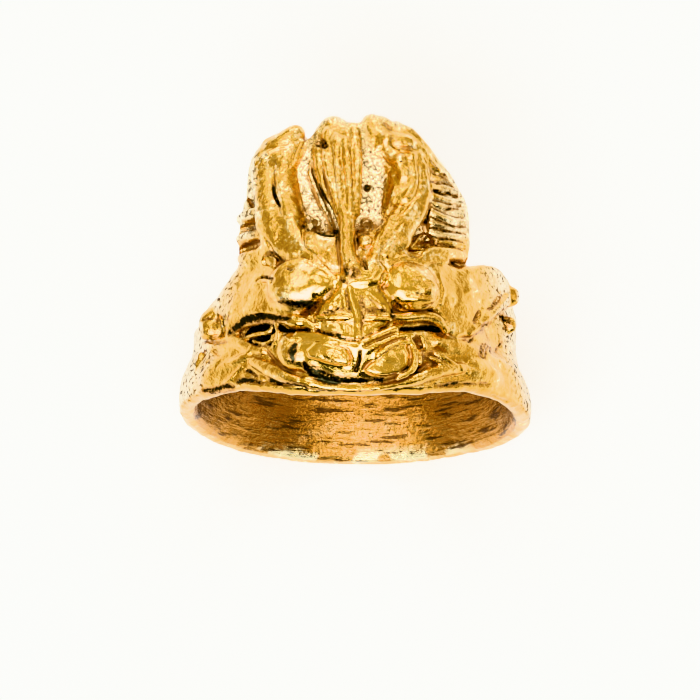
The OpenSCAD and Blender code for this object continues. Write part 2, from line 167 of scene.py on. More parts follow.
SHIELD = (
    [(-2.35, 6.2), (-1.75, 7.15), (-1.15, 7.85), (-0.3, 8.1), (0.6, 8.1), (1.45, 7.98), (2.1, 7.15),
     (2.2, 6.4), (2.1, 5.85), (1.3, 5.42), (0.5, 4.98), (-0.2, 4.88), (-1.0, 5.08), (-1.7, 5.28),
     (-2.25, 5.5)],
    [(-1.9, 6.2, 3.4), (-1.0, 6.2, 3.65), (0.0, 6.2, 3.78), (1.0, 6.2, 3.67), (1.9, 6.2, 3.45),
     (-1.5, 6.9, 3.42), (-0.6, 7.1, 3.68), (0.4, 7.1, 3.7), (1.4, 6.9, 3.54), (-0.9, 7.8, 3.42),
     (0.1, 7.9, 3.55), (1.1, 7.8, 3.52), (2.0, 7.2, 3.4), (-1.9, 5.5, 3.1), (-0.9, 5.4, 3.32),
     (0.1, 5.2, 3.3), (1.0, 5.5, 3.32), (1.8, 5.8, 3.25)],
)
LIP_LEFT = (
    [(-2.85, 4.2), (-2.3, 4.75), (-1.3, 4.68), (-0.6, 4.45), (-0.28, 4.0), (-0.4, 3.4), (-1.2, 3.45),
     (-2.0, 3.7), (-2.7, 3.85)],
    [(-2.4, 4.6, 3.6), (-1.3, 4.5, 3.8), (-0.5, 4.3, 3.8), (-2.4, 3.9, 3.3), (-1.4, 3.7, 3.45),
     (-0.5, 3.5, 3.45)],
)
LIP_RIGHT = (
    [(0.5, 3.1), (0.9, 3.6), (1.5, 4.05), (2.2, 4.5), (2.9, 4.6), (3.15, 4.1), (3.1, 3.4), (2.6, 2.9),
     (1.8, 2.75), (1.0, 2.8)],
    [(0.9, 3.2, 3.3), (1.5, 3.9, 3.6), (2.4, 4.4, 3.62), (3.0, 4.0, 3.4), (2.1, 3.5, 3.36),
     (3.0, 3.4, 3.12), (2.2, 2.9, 3.04), (1.3, 2.9, 3.1)],
)
FAN_RIGHT = (
    [(3.6, 16.4), (4.3, 15.95), (4.8, 15.3), (5.3, 14.65), (5.75, 13.95), (6.15, 13.25), (6.4, 12.5),
     (6.55, 11.6), (6.62, 10.8), (6.55, 10.1), (6.3, 9.65), (5.4, 10.0), (4.6, 10.3), (4.25, 11.3),
     (4.1, 12.6), (3.8, 14.0), (3.6, 15.2)],
    [(4.2, 15.6, 2.3, 1.6), (4.2, 14.2, 2.4, 1.6), (4.4, 12.8, 2.2, 1.6), (4.6, 11.2, 2.1, 1.6),
     (5.0, 14.4, 2.0, 1.4), (5.3, 13.2, 2.0, 1.4), (5.5, 11.8, 2.0, 1.4), (5.5, 10.6, 2.0, 1.4),
     (5.7, 13.7, 1.75, 1.2), (6.2, 12.6, 1.7, 1.2), (6.4, 11.4, 1.65, 1.2), (6.4, 10.2, 1.6, 1.2)],
)

# Mounds of the face, crown and sides, each as a base is.
MOUNDS = [
    # Bulging eyes
    (-3.2, 7.95, 1.8, 1.75, 0, 3.8, 1.5, 2.15, 0.35),
    (-2.0, 8.05, 0.95, 1.0, 45, 3.75, 1.1, 2.6, 0.2),
    (-4.0, 7.9, 0.95, 1.05, 0, 3.5, 1.2, 2.4, 0.5),
    (3.1, 7.85, 1.7, 1.55, -14, 3.78, 1.4, 2.3, 0.35),
    (3.6, 8.1, 1.15, 0.75, -32, 3.92, 1.0, 2.6, 0.2),
    (3.7, 7.2, 0.95, 0.3, 3, 3.8, 0.6, 2.2, 0.15),
    # Bridge from the shield down to the muzzle
    (-0.2, 5.05, 1.9, 0.55, 0, 3.5, 0.6, 2.2, 0.25),
    # Bridge below the nose, the nose's tip, and the facet beside it
    (0.25, 8.2, 1.35, 0.42, 5, 3.78, 0.6, 2.2, 0.25),
    (-1.0, 8.25, 0.5, 0.55, 0, 3.35, 0.8, 2.2, 0.3),
    (-0.2, 8.8, 0.62, 0.75, 0, 3.8, 0.9, 2.4, 0.25),
    (1.1, 8.85, 0.55, 0.95, 38, 3.72, 0.9, 2.8, 0.25),
    (0.7, 8.5, 0.6, 0.6, 0, 3.72, 0.9, 2.4, 0.25),
    # Muzzle, with its left bulge
    (-0.1, 3.95, 4.1, 1.5, 0, 2.95, 1.5, 2.3, 0.2),
    (-3.6, 4.15, 0.95, 1.15, 20, 3.25, 0.9, 2.2, 0.3),
    # Facet between the left wing and the nose shield
    (-3.35, 5.85, 0.85, 0.36, -22, 3.2, 0.6, 2.6, 0.2),
    # Cheek under the left eye of the crown
    (-2.0, 10.3, 1.15, 0.85, -22, 3.3, 0.9, 2.4, 0.25),
    # Caps and broad parts of the plumes
    (-4.15, 16.4, 1.35, 0.6, 38, 2.75, 0.9, 2.2, 0.2),
    (-4.6, 11.3, 1.0, 1.5, 26, 2.95, 1.0, 2.4, 0.4),
    (1.85, 16.7, 0.36, 0.4, 0, 2.86, 0.4, 2, 0.15),
    (2.8, 16.5, 0.62, 0.38, -8, 2.82, 0.45, 3, 0.15),
    (2.6, 15.4, 0.34, 0.32, 0, 3.1, 0.35, 2, 0.12),
    (3.3, 15.65, 0.24, 0.24, 0, 3.1, 0.3, 2, 0.1),
    (2.3, 10.7, 1.0, 1.0, 30, 3.35, 0.9, 2.3, 0.3),
    # Small balls beside the face and the nose, and the knob at the right
    (-8.42, 5.45, 0.62, 0.62, 0, 1.72, 0.65, 2.4, 0.4),
    (0.58, 10.62, 0.42, 0.42, 0, 3.62, 0.5, 2.4, 0.12),
    (9.2, 7.4, 0.4, 0.55, 8, 1.75, 0.45, 2.4, 0.3),
    (9.1, 5.75, 0.22, 0.45, 10, 1.45, 0.4, 2, 0.3),
    # Leaf at the far left, and small leaves beside the muzzle
    (-9.15, 3.3, 0.3, 0.9, -25, 1.72, 0.35, 2, 0.1),
    (3.95, 4.65, 0.22, 0.55, 22, 2.95, 0.35, 2, 0.1),
    (3.75, 3.7, 0.2, 0.36, 0, 2.85, 0.3, 2, 0.15),
    # Plumpness of the rim
    (-8.0, 2.9, 1.4, 0.7, 14, 2.0, 0.8, 2.2, 0.5),
    (7.2, 2.9, 1.6, 0.6, -6, 2.05, 0.8, 2.2, 0.5),
]

# Broad strands with soft joints: rows of across, up, top and radius.
BROAD_STRANDS = [
    # Left plume: a broad form, an outer and an inner lobe, and its foot
    [(-4.4, 15.9, 2.4, 0.7), (-4.8, 14.8, 2.65, 0.78), (-4.85, 13.8, 2.75, 0.8),
     (-4.75, 12.8, 2.85, 0.8), (-4.5, 11.8, 2.95, 0.8), (-4, 10.9, 3, 0.76), (-3.3, 10.1, 3.05, 0.6)],
    [(-4.9, 16.1, 2.5, 0.5), (-5.35, 15.3, 2.65, 0.6), (-5.4, 14.5, 2.75, 0.64),
     (-5.35, 13.6, 2.8, 0.64), (-5.2, 12.7, 2.85, 0.64), (-5, 11.8, 2.9, 0.64), (-4.65, 11, 2.95, 0.64),
     (-4.1, 10.3, 3, 0.56), (-3.5, 9.85, 3.05, 0.4)],
    [(-4.3, 15.6, 2.55, 0.5), (-4.2, 14.8, 2.8, 0.5), (-4.15, 13.9, 2.98, 0.5), (-4, 13, 3.05, 0.52),
     (-3.8, 12.1, 3.1, 0.56), (-3.6, 11.3, 3.15, 0.58), (-3.2, 10.6, 3.2, 0.56),
     (-2.6, 9.95, 3.25, 0.42), (-2, 9.5, 3.35, 0.32)],
    [(-3.4, 16.8, 2.3, 0.38), (-3.65, 16.1, 2.4, 0.34), (-3.9, 15.5, 2.5, 0.3)],
    # Inner flank of the left plume, a slope down to the recess
    [(-3.8, 15.2, 2.35, 0.34), (-3.9, 14.2, 2.5, 0.4), (-3.68, 13.1, 2.6, 0.45),
     (-3.4, 12.1, 2.7, 0.45)],
    # Right plume: its inner flank, a broad form, and the lobes on it
    [(0.95, 17.2, 2.2, 0.42), (1.45, 16.3, 2.4, 0.5), (2.05, 15.2, 2.45, 0.6), (2.35, 14.2, 2.5, 0.66),
     (2.25, 13.2, 2.5, 0.62), (2.15, 12.3, 2.6, 0.55)],
    [(2.6, 15.2, 2.75, 0.5), (2.8, 14.2, 2.85, 0.5), (2.7, 13.2, 2.9, 0.5)],
    [(1.5, 17.1, 2.2, 0.72), (2.3, 16.3, 2.5, 0.8), (3, 15.3, 2.75, 0.8), (3.35, 14.2, 2.9, 0.78),
     (3.35, 13.2, 2.95, 0.78), (2.95, 12.3, 3, 0.8), (2.45, 11.5, 3.05, 0.8), (1.9, 10.7, 3.15, 0.72),
     (1.6, 9.9, 3.3, 0.6)],
    [(2.9, 16.7, 2.3, 0.6), (3.6, 15.5, 2.55, 0.64), (3.85, 14.2, 2.7, 0.62), (3.75, 13.1, 2.8, 0.62),
     (3.45, 12.2, 2.9, 0.62), (3, 11.4, 3, 0.6)],
]

# Strands: rows of across, up, top and radius.
STRANDS = [
    # Middle feather: its body, left side, ribs and right side
    [(-1.2, 17.1, 2.3, 0.9), (-1, 16, 2.85, 1), (-0.85, 14.5, 3.1, 0.85), (-0.55, 13, 3.3, 0.65),
     (-0.45, 11.8, 3.35, 0.5)],
    [(-1.9, 17, 2.2, 0.42), (-2.1, 16.3, 2.3, 0.4), (-2.1, 15.6, 2.5, 0.4), (-2, 14.6, 2.65, 0.36),
     (-1.7, 13.5, 2.85, 0.32), (-1.35, 12.5, 3, 0.26), (-1.1, 11.6, 3.1, 0.2)],
    [(-1.6, 16.9, 2.6, 0.36), (-1.66, 16, 2.9, 0.34), (-1.58, 15, 3.05, 0.28), (-1.36, 14.1, 3.2, 0.25),
     (-1.12, 13, 3.3, 0.22), (-0.98, 12.4, 3.35, 0.2)],
    [(-1.1, 16.6, 2.9, 0.33), (-1.05, 15, 3.28, 0.28), (-0.9, 13.6, 3.42, 0.25),
     (-0.7, 12.3, 3.45, 0.22)],
    [(-0.55, 16.5, 2.95, 0.3), (-0.42, 15, 3.35, 0.26), (-0.3, 13.6, 3.5, 0.23),
     (-0.28, 12.3, 3.55, 0.22)],
    [(-0.1, 17.2, 2.3, 0.38), (0.02, 16.3, 2.8, 0.36), (0.12, 15, 3.2, 0.32), (0.1, 13.6, 3.35, 0.3),
     (0.05, 12.3, 3.4, 0.28)],
    # Nose stem, and the strand under the small ball
    [(-0.45, 12.6, 3.45, 0.5), (-0.48, 11.2, 3.6, 0.5), (-0.45, 10.2, 3.7, 0.5), (-0.3, 9.5, 3.8, 0.52),
     (-0.18, 9.1, 3.82, 0.5)],
    [(0.3, 10.2, 3.35, 0.24), (0.22, 9.6, 3.4, 0.22), (0.35, 9.15, 3.5, 0.2)],
    # Lobes on the right plume
    [(0.95, 17.6, 2.2, 0.52), (1.45, 16.9, 2.5, 0.46), (2.05, 16, 2.7, 0.44), (2.6, 15.1, 2.9, 0.42),
     (2.85, 14.4, 3.05, 0.38)],
    [(3.3, 15.2, 2.95, 0.3), (3.42, 14.4, 3.12, 0.3), (3.3, 13.7, 3.15, 0.3), (2.95, 13.2, 3.12, 0.26)],
    [(2.6, 12.5, 3.15, 0.34), (2.2, 11.8, 3.25, 0.4), (1.75, 11.1, 3.35, 0.4), (1.35, 10.4, 3.45, 0.38),
     (1.15, 9.6, 3.55, 0.36)],
    [(3.35, 12.7, 3.15, 0.34), (3, 12, 3.25, 0.4), (2.5, 11.3, 3.35, 0.42), (2.05, 10.6, 3.4, 0.42),
     (1.75, 9.9, 3.45, 0.4)],
    [(3.75, 15.6, 2.75, 0.3), (4.02, 14.8, 2.85, 0.34), (4.1, 13.8, 2.9, 0.36), (3.95, 12.9, 2.95, 0.36),
     (3.6, 12.1, 3.05, 0.38)],
    # Two strands along the outline above the right fan
    [(2.4, 17.4, 2, 0.34), (3.2, 16.9, 2.2, 0.34), (3.9, 16.3, 2.3, 0.28), (4.5, 15.6, 2.2, 0.22),
     (4.9, 15, 2, 0.18)],
    [(3.9, 16, 2.45, 0.2), (4.3, 15.4, 2.4, 0.2), (4.7, 14.9, 2.3, 0.2)],
    # Bar under the right plume and fan
    [(1.9, 9.4, 3.2, 0.36), (2.8, 9.6, 3.1, 0.4), (3.7, 9.65, 2.95, 0.42), (4.6, 9.95, 2.7, 0.44),
     (5.4, 9.9, 2.4, 0.42), (6.1, 9.75, 1.9, 0.36)],
    [(3.6, 9.35, 2.95, 0.3), (4.5, 9.5, 2.75, 0.32), (5.2, 9.5, 2.45, 0.28)],
    # Left fan
    [(-5.8, 13.4, 2, 0.3), (-6.25, 12.75, 1.8, 0.3)],
    [(-5.5, 12.3, 2.2, 0.36), (-6.2, 12.15, 2, 0.42), (-6.65, 11.95, 1.65, 0.32)],
    [(-5.4, 11.1, 2.35, 0.36), (-6.15, 10.9, 2.1, 0.4), (-6.7, 10.75, 1.75, 0.32)],
    [(-5.2, 9.95, 2.3, 0.32), (-6, 9.75, 2.1, 0.38), (-6.65, 9.6, 1.7, 0.32)],
    # Ledges beside the nose shield
    [(2.1, 6.2, 3.45, 0.24), (3, 6.15, 3.3, 0.28), (4.1, 6.25, 3.1, 0.3), (4.85, 6, 2.95, 0.25),
     (5.3, 5.4, 2.65, 0.2)],
    [(-4.3, 6.08, 2.9, 0.22), (-3.2, 6, 3.2, 0.26), (-2.4, 5.6, 3.35, 0.22)],
    # Straps above the right lip
    [(0.45, 4.68, 3.75, 0.22), (1.3, 5.05, 3.75, 0.26), (2.3, 5.5, 3.55, 0.24)],
    [(0.7, 4.3, 3.6, 0.24), (1.6, 4.75, 3.6, 0.26), (2.6, 5.1, 3.45, 0.24), (3.3, 5.15, 3.2, 0.22)],
    [(1.35, 3.95, 3.6, 0.15), (1.9, 4.35, 3.68, 0.17), (2.6, 4.72, 3.6, 0.17), (3.05, 4.72, 3.45, 0.15)],
    [(3.1, 5, 3.3, 0.18), (3.42, 4.4, 3.35, 0.2), (3.5, 3.6, 3.3, 0.2), (3.2, 3, 3.25, 0.2),
     (2.5, 2.62, 3.2, 0.18)],
    # Upper edge of the muzzle, and the ceiling under the left wing
    [(-3.3, 5.15, 3.05, 0.25), (-2.3, 5.05, 3.3, 0.28), (-1.4, 4.85, 3.5, 0.25)],
    [(-7.3, 5.25, 1.85, 0.3), (-6.7, 5.7, 2, 0.35), (-6, 5.98, 2.15, 0.35), (-5, 6.1, 2.3, 0.35),
     (-4.3, 6, 2.5, 0.3)],
    # Folds round the muzzle that run into the rim
    [(-5.9, 3.6, 2.1, 0.36), (-5, 3.15, 2.4, 0.46), (-4, 2.75, 2.6, 0.46), (-2.9, 2.42, 2.65, 0.36),
     (-1.6, 2.12, 2.55, 0.26), (0, 2, 2.5, 0.24), (1.4, 2.1, 2.5, 0.22)],
    [(6.2, 3.2, 2.1, 0.3), (5.2, 3.1, 2.3, 0.38), (4.2, 2.85, 2.45, 0.4), (3.2, 2.5, 2.55, 0.34),
     (2.2, 2.2, 2.5, 0.24), (0.8, 2.02, 2.45, 0.2)],
    # Cheeks
    [(4.7, 4.75, 2.3, 0.5), (5.7, 4.5, 2.1, 0.6), (6.7, 4.15, 1.9, 0.55), (7.6, 3.75, 1.75, 0.45),
     (8.5, 3.3, 1.6, 0.4), (9.3, 2.75, 1.5, 0.38)],
    [(4.65, 4.08, 2.4, 0.14), (5.3, 3.75, 2.4, 0.16), (5.95, 3.3, 2.25, 0.14)],
    [(4.4, 3.85, 2.4, 0.12), (4.9, 3.6, 2.4, 0.13), (5.35, 3.35, 2.3, 0.11)],
    [(-8.6, 3.4, 1.75, 0.28), (-7.8, 3.35, 1.95, 0.32), (-7, 3.55, 2, 0.3), (-6.2, 4, 2.05, 0.3)],
    [(-8.7, 4.5, 1.45, 0.3), (-7.8, 4.6, 1.7, 0.4), (-6.9, 4.75, 1.9, 0.42), (-6.2, 4.4, 2, 0.36),
     (-5.4, 4.2, 2.1, 0.3)],
]

# Ridges: rows of across, up, rise above the surface, and radius.
RIDGES = [
    # Thin rib in the left recess
    [(-2.62, 15.3, 0.15, 0.13), (-2.6, 14.5, 0.25, 0.15), (-2.15, 13.5, 0.3, 0.16),
     (-1.85, 12.7, 0.35, 0.16), (-1.5, 11.9, 0.35, 0.14), (-1.25, 11.3, 0.3, 0.12)],
    # Threads at the top of the left recess
    [(-3.1, 16.5, 0.2, 0.12), (-3.4, 15.8, 0.2, 0.13), (-3.6, 15.2, 0.12, 0.12)],
    [(-2.9, 16.1, 0.15, 0.11), (-3.15, 15.7, 0.15, 0.11), (-3.4, 15.2, 0.08, 0.1)],
    # Rib in the right flank
    [(1.85, 12.2, 0.2, 0.1), (2.05, 12.9, 0.22, 0.1), (2.3, 13.8, 0.15, 0.1)],
    # Facets of the nose shield, and the cross between them
    [(-1.45, 6.85, 0.1, 0.26), (-0.75, 7.55, 0.1, 0.26)],
    [(1.5, 6.85, 0.1, 0.26), (0.85, 7.55, 0.1, 0.26)],
    [(-1.65, 5.75, 0.08, 0.25), (-1.15, 5.65, 0.08, 0.25)],
    [(-0.6, 5.6, 0.08, 0.22), (-0.55, 5.3, 0.06, 0.2)],
    [(0.7, 5.5, 0.08, 0.22), (1.6, 5.85, 0.06, 0.2)],
    [(-0.32, 7.9, 0.1, 0.16), (-0.2, 7.3, 0.14, 0.18), (0, 6.6, 0.16, 0.18), (0.15, 6, 0.18, 0.18),
     (0.15, 5.4, 0.18, 0.18), (0.1, 4.95, 0.12, 0.18)],
    [(-2.2, 6.18, 0.18, 0.15), (-1.4, 6.16, 0.22, 0.16), (-0.4, 6.2, 0.15, 0.15)],
    [(0.6, 6.1, 0.16, 0.15), (1.4, 6.1, 0.22, 0.16), (2.05, 6.08, 0.18, 0.14)],
    [(-0.68, 7.5, 0.08, 0.13), (-0.6, 7.1, 0.1, 0.13), (-0.58, 6.75, 0.05, 0.1)],
    # Brow over the left eye, and lid over the right eye
    [(-4.7, 8.6, 0.04, 0.12), (-4.35, 9.1, 0.1, 0.12), (-3.77, 9.45, 0.15, 0.13),
     (-3.11, 9.55, 0.16, 0.14), (-2.1, 9.25, 0.16, 0.13), (-1.5, 8.85, 0.14, 0.12),
     (-1.15, 8.35, 0.12, 0.11)],
    [(2.9, 9.15, 0.08, 0.1), (4.2, 8.42, 0.12, 0.11), (4.75, 7.9, 0.14, 0.11), (4.78, 7.35, 0.14, 0.11),
     (4.5, 6.85, 0.1, 0.1)],
    [(4.9, 8.6, 0.05, 0.12), (5.1, 7.7, 0.1, 0.14), (4.98, 7, 0.08, 0.12)],
    [(-2.05, 6.85, 0.06, 0.09), (-1.7, 7.2, 0.1, 0.1), (-1.3, 7.6, 0.06, 0.08)],
    # Folds across the plumes
    [(2.05, 12.02, 0.1, 0.12), (2.4, 12.1, 0.12, 0.13), (2.85, 12.1, 0.08, 0.12)],
    [(2.6, 11.9, 0.06, 0.1), (3.05, 12.4, 0.1, 0.12), (3.35, 12.7, 0.06, 0.1)],
    [(-4.55, 14.7, 0.04, 0.1), (-4.5, 14.2, 0.08, 0.12), (-4.35, 13.6, 0.1, 0.12),
     (-4.2, 13.1, 0.05, 0.1)],
    [(-5.5, 15.45, 0.1, 0.13), (-5, 15.85, 0.14, 0.14), (-4.3, 16.15, 0.12, 0.13),
     (-3.8, 16.4, 0.06, 0.1)],
    [(3, 14.9, 0.06, 0.1), (3.05, 14.3, 0.08, 0.12), (2.95, 13.8, 0.05, 0.1)],
    # Ribs of the right fan
    [(4.4, 15.15, 0.12, 0.17), (4.9, 14.75, 0.17, 0.19), (5.35, 14.4, 0.12, 0.17)],
    [(4.5, 14.4, 0.12, 0.17), (5.1, 14.3, 0.17, 0.19), (5.7, 14, 0.12, 0.17)],
    [(4.45, 13.85, 0.12, 0.17), (5.1, 13.8, 0.17, 0.2), (5.95, 13.55, 0.12, 0.17)],
    [(4.5, 13.35, 0.12, 0.17), (5.3, 13.05, 0.17, 0.2), (6.2, 12.95, 0.12, 0.17)],
    [(4.5, 12.9, 0.12, 0.16), (5.2, 12.65, 0.17, 0.19), (6.3, 12.45, 0.12, 0.17)],
    [(4.5, 12.4, 0.12, 0.17), (5.2, 12, 0.17, 0.2), (6.45, 11.75, 0.12, 0.17)],
    [(4.4, 11.8, 0.12, 0.16), (5.2, 11.55, 0.17, 0.19), (6.5, 11.3, 0.12, 0.17)],
    [(4.4, 11.15, 0.12, 0.18), (5.2, 11, 0.17, 0.2), (6.5, 10.85, 0.12, 0.18)],
    [(4.8, 10.72, 0.12, 0.16), (5.5, 10.55, 0.16, 0.17), (6.4, 10.35, 0.12, 0.16)],
    # Folds on the wings
    [(-5.9, 8.05, 0.08, 0.12), (-5.4, 8.35, 0.16, 0.14), (-4.85, 8.3, 0.12, 0.13)],
    [(-7.9, 6.4, 0.1, 0.1), (-7.8, 5.9, 0.16, 0.1), (-7.72, 5.35, 0.1, 0.08)],
    [(6.7, 5.3, 0.1, 0.2), (7.3, 5.7, 0.18, 0.26), (7.9, 6.3, 0.2, 0.28), (8.4, 6.8, 0.2, 0.28),
     (8.9, 7.4, 0.15, 0.24)],
    [(7.45, 6.7, 0.1, 0.14), (7.9, 6.85, 0.1, 0.12), (8.2, 7.2, 0.12, 0.13), (8.6, 7.6, 0.1, 0.12)],
    [(6.4, 7.6, 0.04, 0.12), (6.9, 7.8, 0.08, 0.14), (7.3, 7.6, 0.05, 0.12)],
    # Folds on the cheeks
    [(-8.9, 4.55, 0.06, 0.08), (-8.45, 4, 0.1, 0.08), (-8.05, 3.5, 0.06, 0.08)],
    [(-8.65, 4.4, 0.05, 0.07), (-8.2, 3.95, 0.08, 0.08), (-7.8, 3.65, 0.05, 0.07)],
    [(-7.65, 2.3, 0.08, 0.1), (-7.3, 2.6, 0.12, 0.1), (-7, 2.95, 0.1, 0.1), (-6.6, 3.35, 0.1, 0.12)],
    [(6.15, 3.35, 0.1, 0.09), (6.3, 3.05, 0.1, 0.09)],
    [(6.5, 3.3, 0.08, 0.08), (6.65, 3, 0.1, 0.09)],
    # Threads that stand in the slits
    [(-4.62, 5.85, 0.1, 0.12), (-4.5, 5.4, 0.2, 0.12), (-4.5, 4.95, 0.15, 0.12),
     (-4.75, 4.6, 0.1, 0.11)],
]

# Rings: across, up, radius of the ring, rise above the surface, and radius of its wire.
RINGS = [(0.72, 11.55, 0.3, 0.26, 0.1), (-2.34, 11.75, 0.25, 0.28, 0.1), (-5.05, 9.5, 0.4, 0.2, 0.12)]

# Grooves: rows of across, up, depth below the surface there, and radius.
DEEP_GROOVES = [
    # Slits beside the nose shield, and the cave under the left wing
    [(2.6, 5.5, 0.3, 0.05), (3.3, 5.5, 0.6, 0.07), (4, 5.56, 0.7, 0.1), (4.6, 5.52, 0.7, 0.13),
     (4.9, 5.42, 0.4, 0.06)],
    [(-4.35, 5.55, 0.8, 0.15), (-3.95, 5.42, 0.4, 0.08), (-3.5, 5.34, 0.1, 0.03)],
    [(-4.85, 5.42, 0.9, 0.26), (-5.3, 5.38, 1.1, 0.36), (-5.8, 5.3, 0.9, 0.3), (-6.2, 5.2, 0.6, 0.16)],
    [(-4.9, 4.85, 0.9, 0.3), (-5.6, 4.85, 0.9, 0.34), (-6.1, 4.9, 0.5, 0.2)],
    [(-6.68, 5.25, 0.2, 0.08), (-6.64, 5.1, 0.3, 0.11)],
    # Slit between the lips, nostril, and the slit beside the nose
    [(0.3, 4.18, 0.3, 0.06), (0.25, 3.66, 0.4, 0.07), (0.05, 3.08, 0.4, 0.09)],
    [(0.5, 9.65, 0.12, 0.04), (0.58, 9.3, 0.22, 0.05), (0.66, 9, 0.2, 0.05)],
    # Slit along the right plume
    [(4.42, 12.8, 0.2, 0.05), (4.25, 12.35, 0.35, 0.07), (4.12, 11.75, 0.3, 0.06)],
    # Slit in the left plume
    [(-4.72, 14.05, 0.12, 0.05), (-4.75, 13.6, 0.35, 0.08), (-4.65, 13.2, 0.4, 0.09),
     (-4.4, 12.7, 0.15, 0.06)],
    # Hole at the right side, and the pit of the feather
    [(8.65, 6.15, 0.2, 0.07), (8.75, 5.9, 0.3, 0.09), (8.87, 5.6, 0.2, 0.07)],
    [(-2.15, 16.35, 0.25, 0.14), (-1.95, 16.4, 0.35, 0.2), (-1.75, 16.2, 0.2, 0.12)],
    # Lower edge of the left recess, and the gap between the thin rib and the feather
    [(-3, 11.5, 0.25, 0.09), (-2.6, 11.25, 0.3, 0.1), (-1.9, 11.08, 0.35, 0.1),
     (-1.3, 11.02, 0.3, 0.09)],
    [(-2.1, 13.9, 0.15, 0.06), (-1.85, 13.3, 0.35, 0.08), (-1.52, 12.5, 0.5, 0.1),
     (-1.15, 11.6, 0.5, 0.1), (-1.12, 11.2, 0.3, 0.08)],
    # Pit round the small dome beside the left eye
    [(-5.35, 9.8, 0.15, 0.07), (-5, 9.95, 0.25, 0.08), (-4.6, 9.75, 0.25, 0.07), (-4.3, 9.4, 0.2, 0.06)],
]
# Hollows with a fainter shade painted into them: under the right plume, and in the left fan.
HOLLOWS = [
    [(3.2, 10.4, 0.4, 0.14), (3.7, 10.7, 0.6, 0.26), (4.05, 10.95, 0.5, 0.16)],
    [(3.6, 10.4, 0.5, 0.2), (4.3, 10.45, 0.5, 0.24)],
    [(3.15, 9.9, 0.2, 0.12), (3.6, 9.85, 0.3, 0.16), (3.85, 9.95, 0.2, 0.1)],
    [(-6.7, 11.25, 0.3, 0.2), (-6.3, 11.4, 0.5, 0.26), (-5.8, 11.6, 0.5, 0.22)],
    [(-6.7, 10.1, 0.3, 0.2), (-6.2, 10.3, 0.5, 0.2), (-5.45, 10.5, 0.3, 0.1)],
    [(-6.2, 13.1, 0.3, 0.12), (-6, 12.75, 0.3, 0.14)],
]
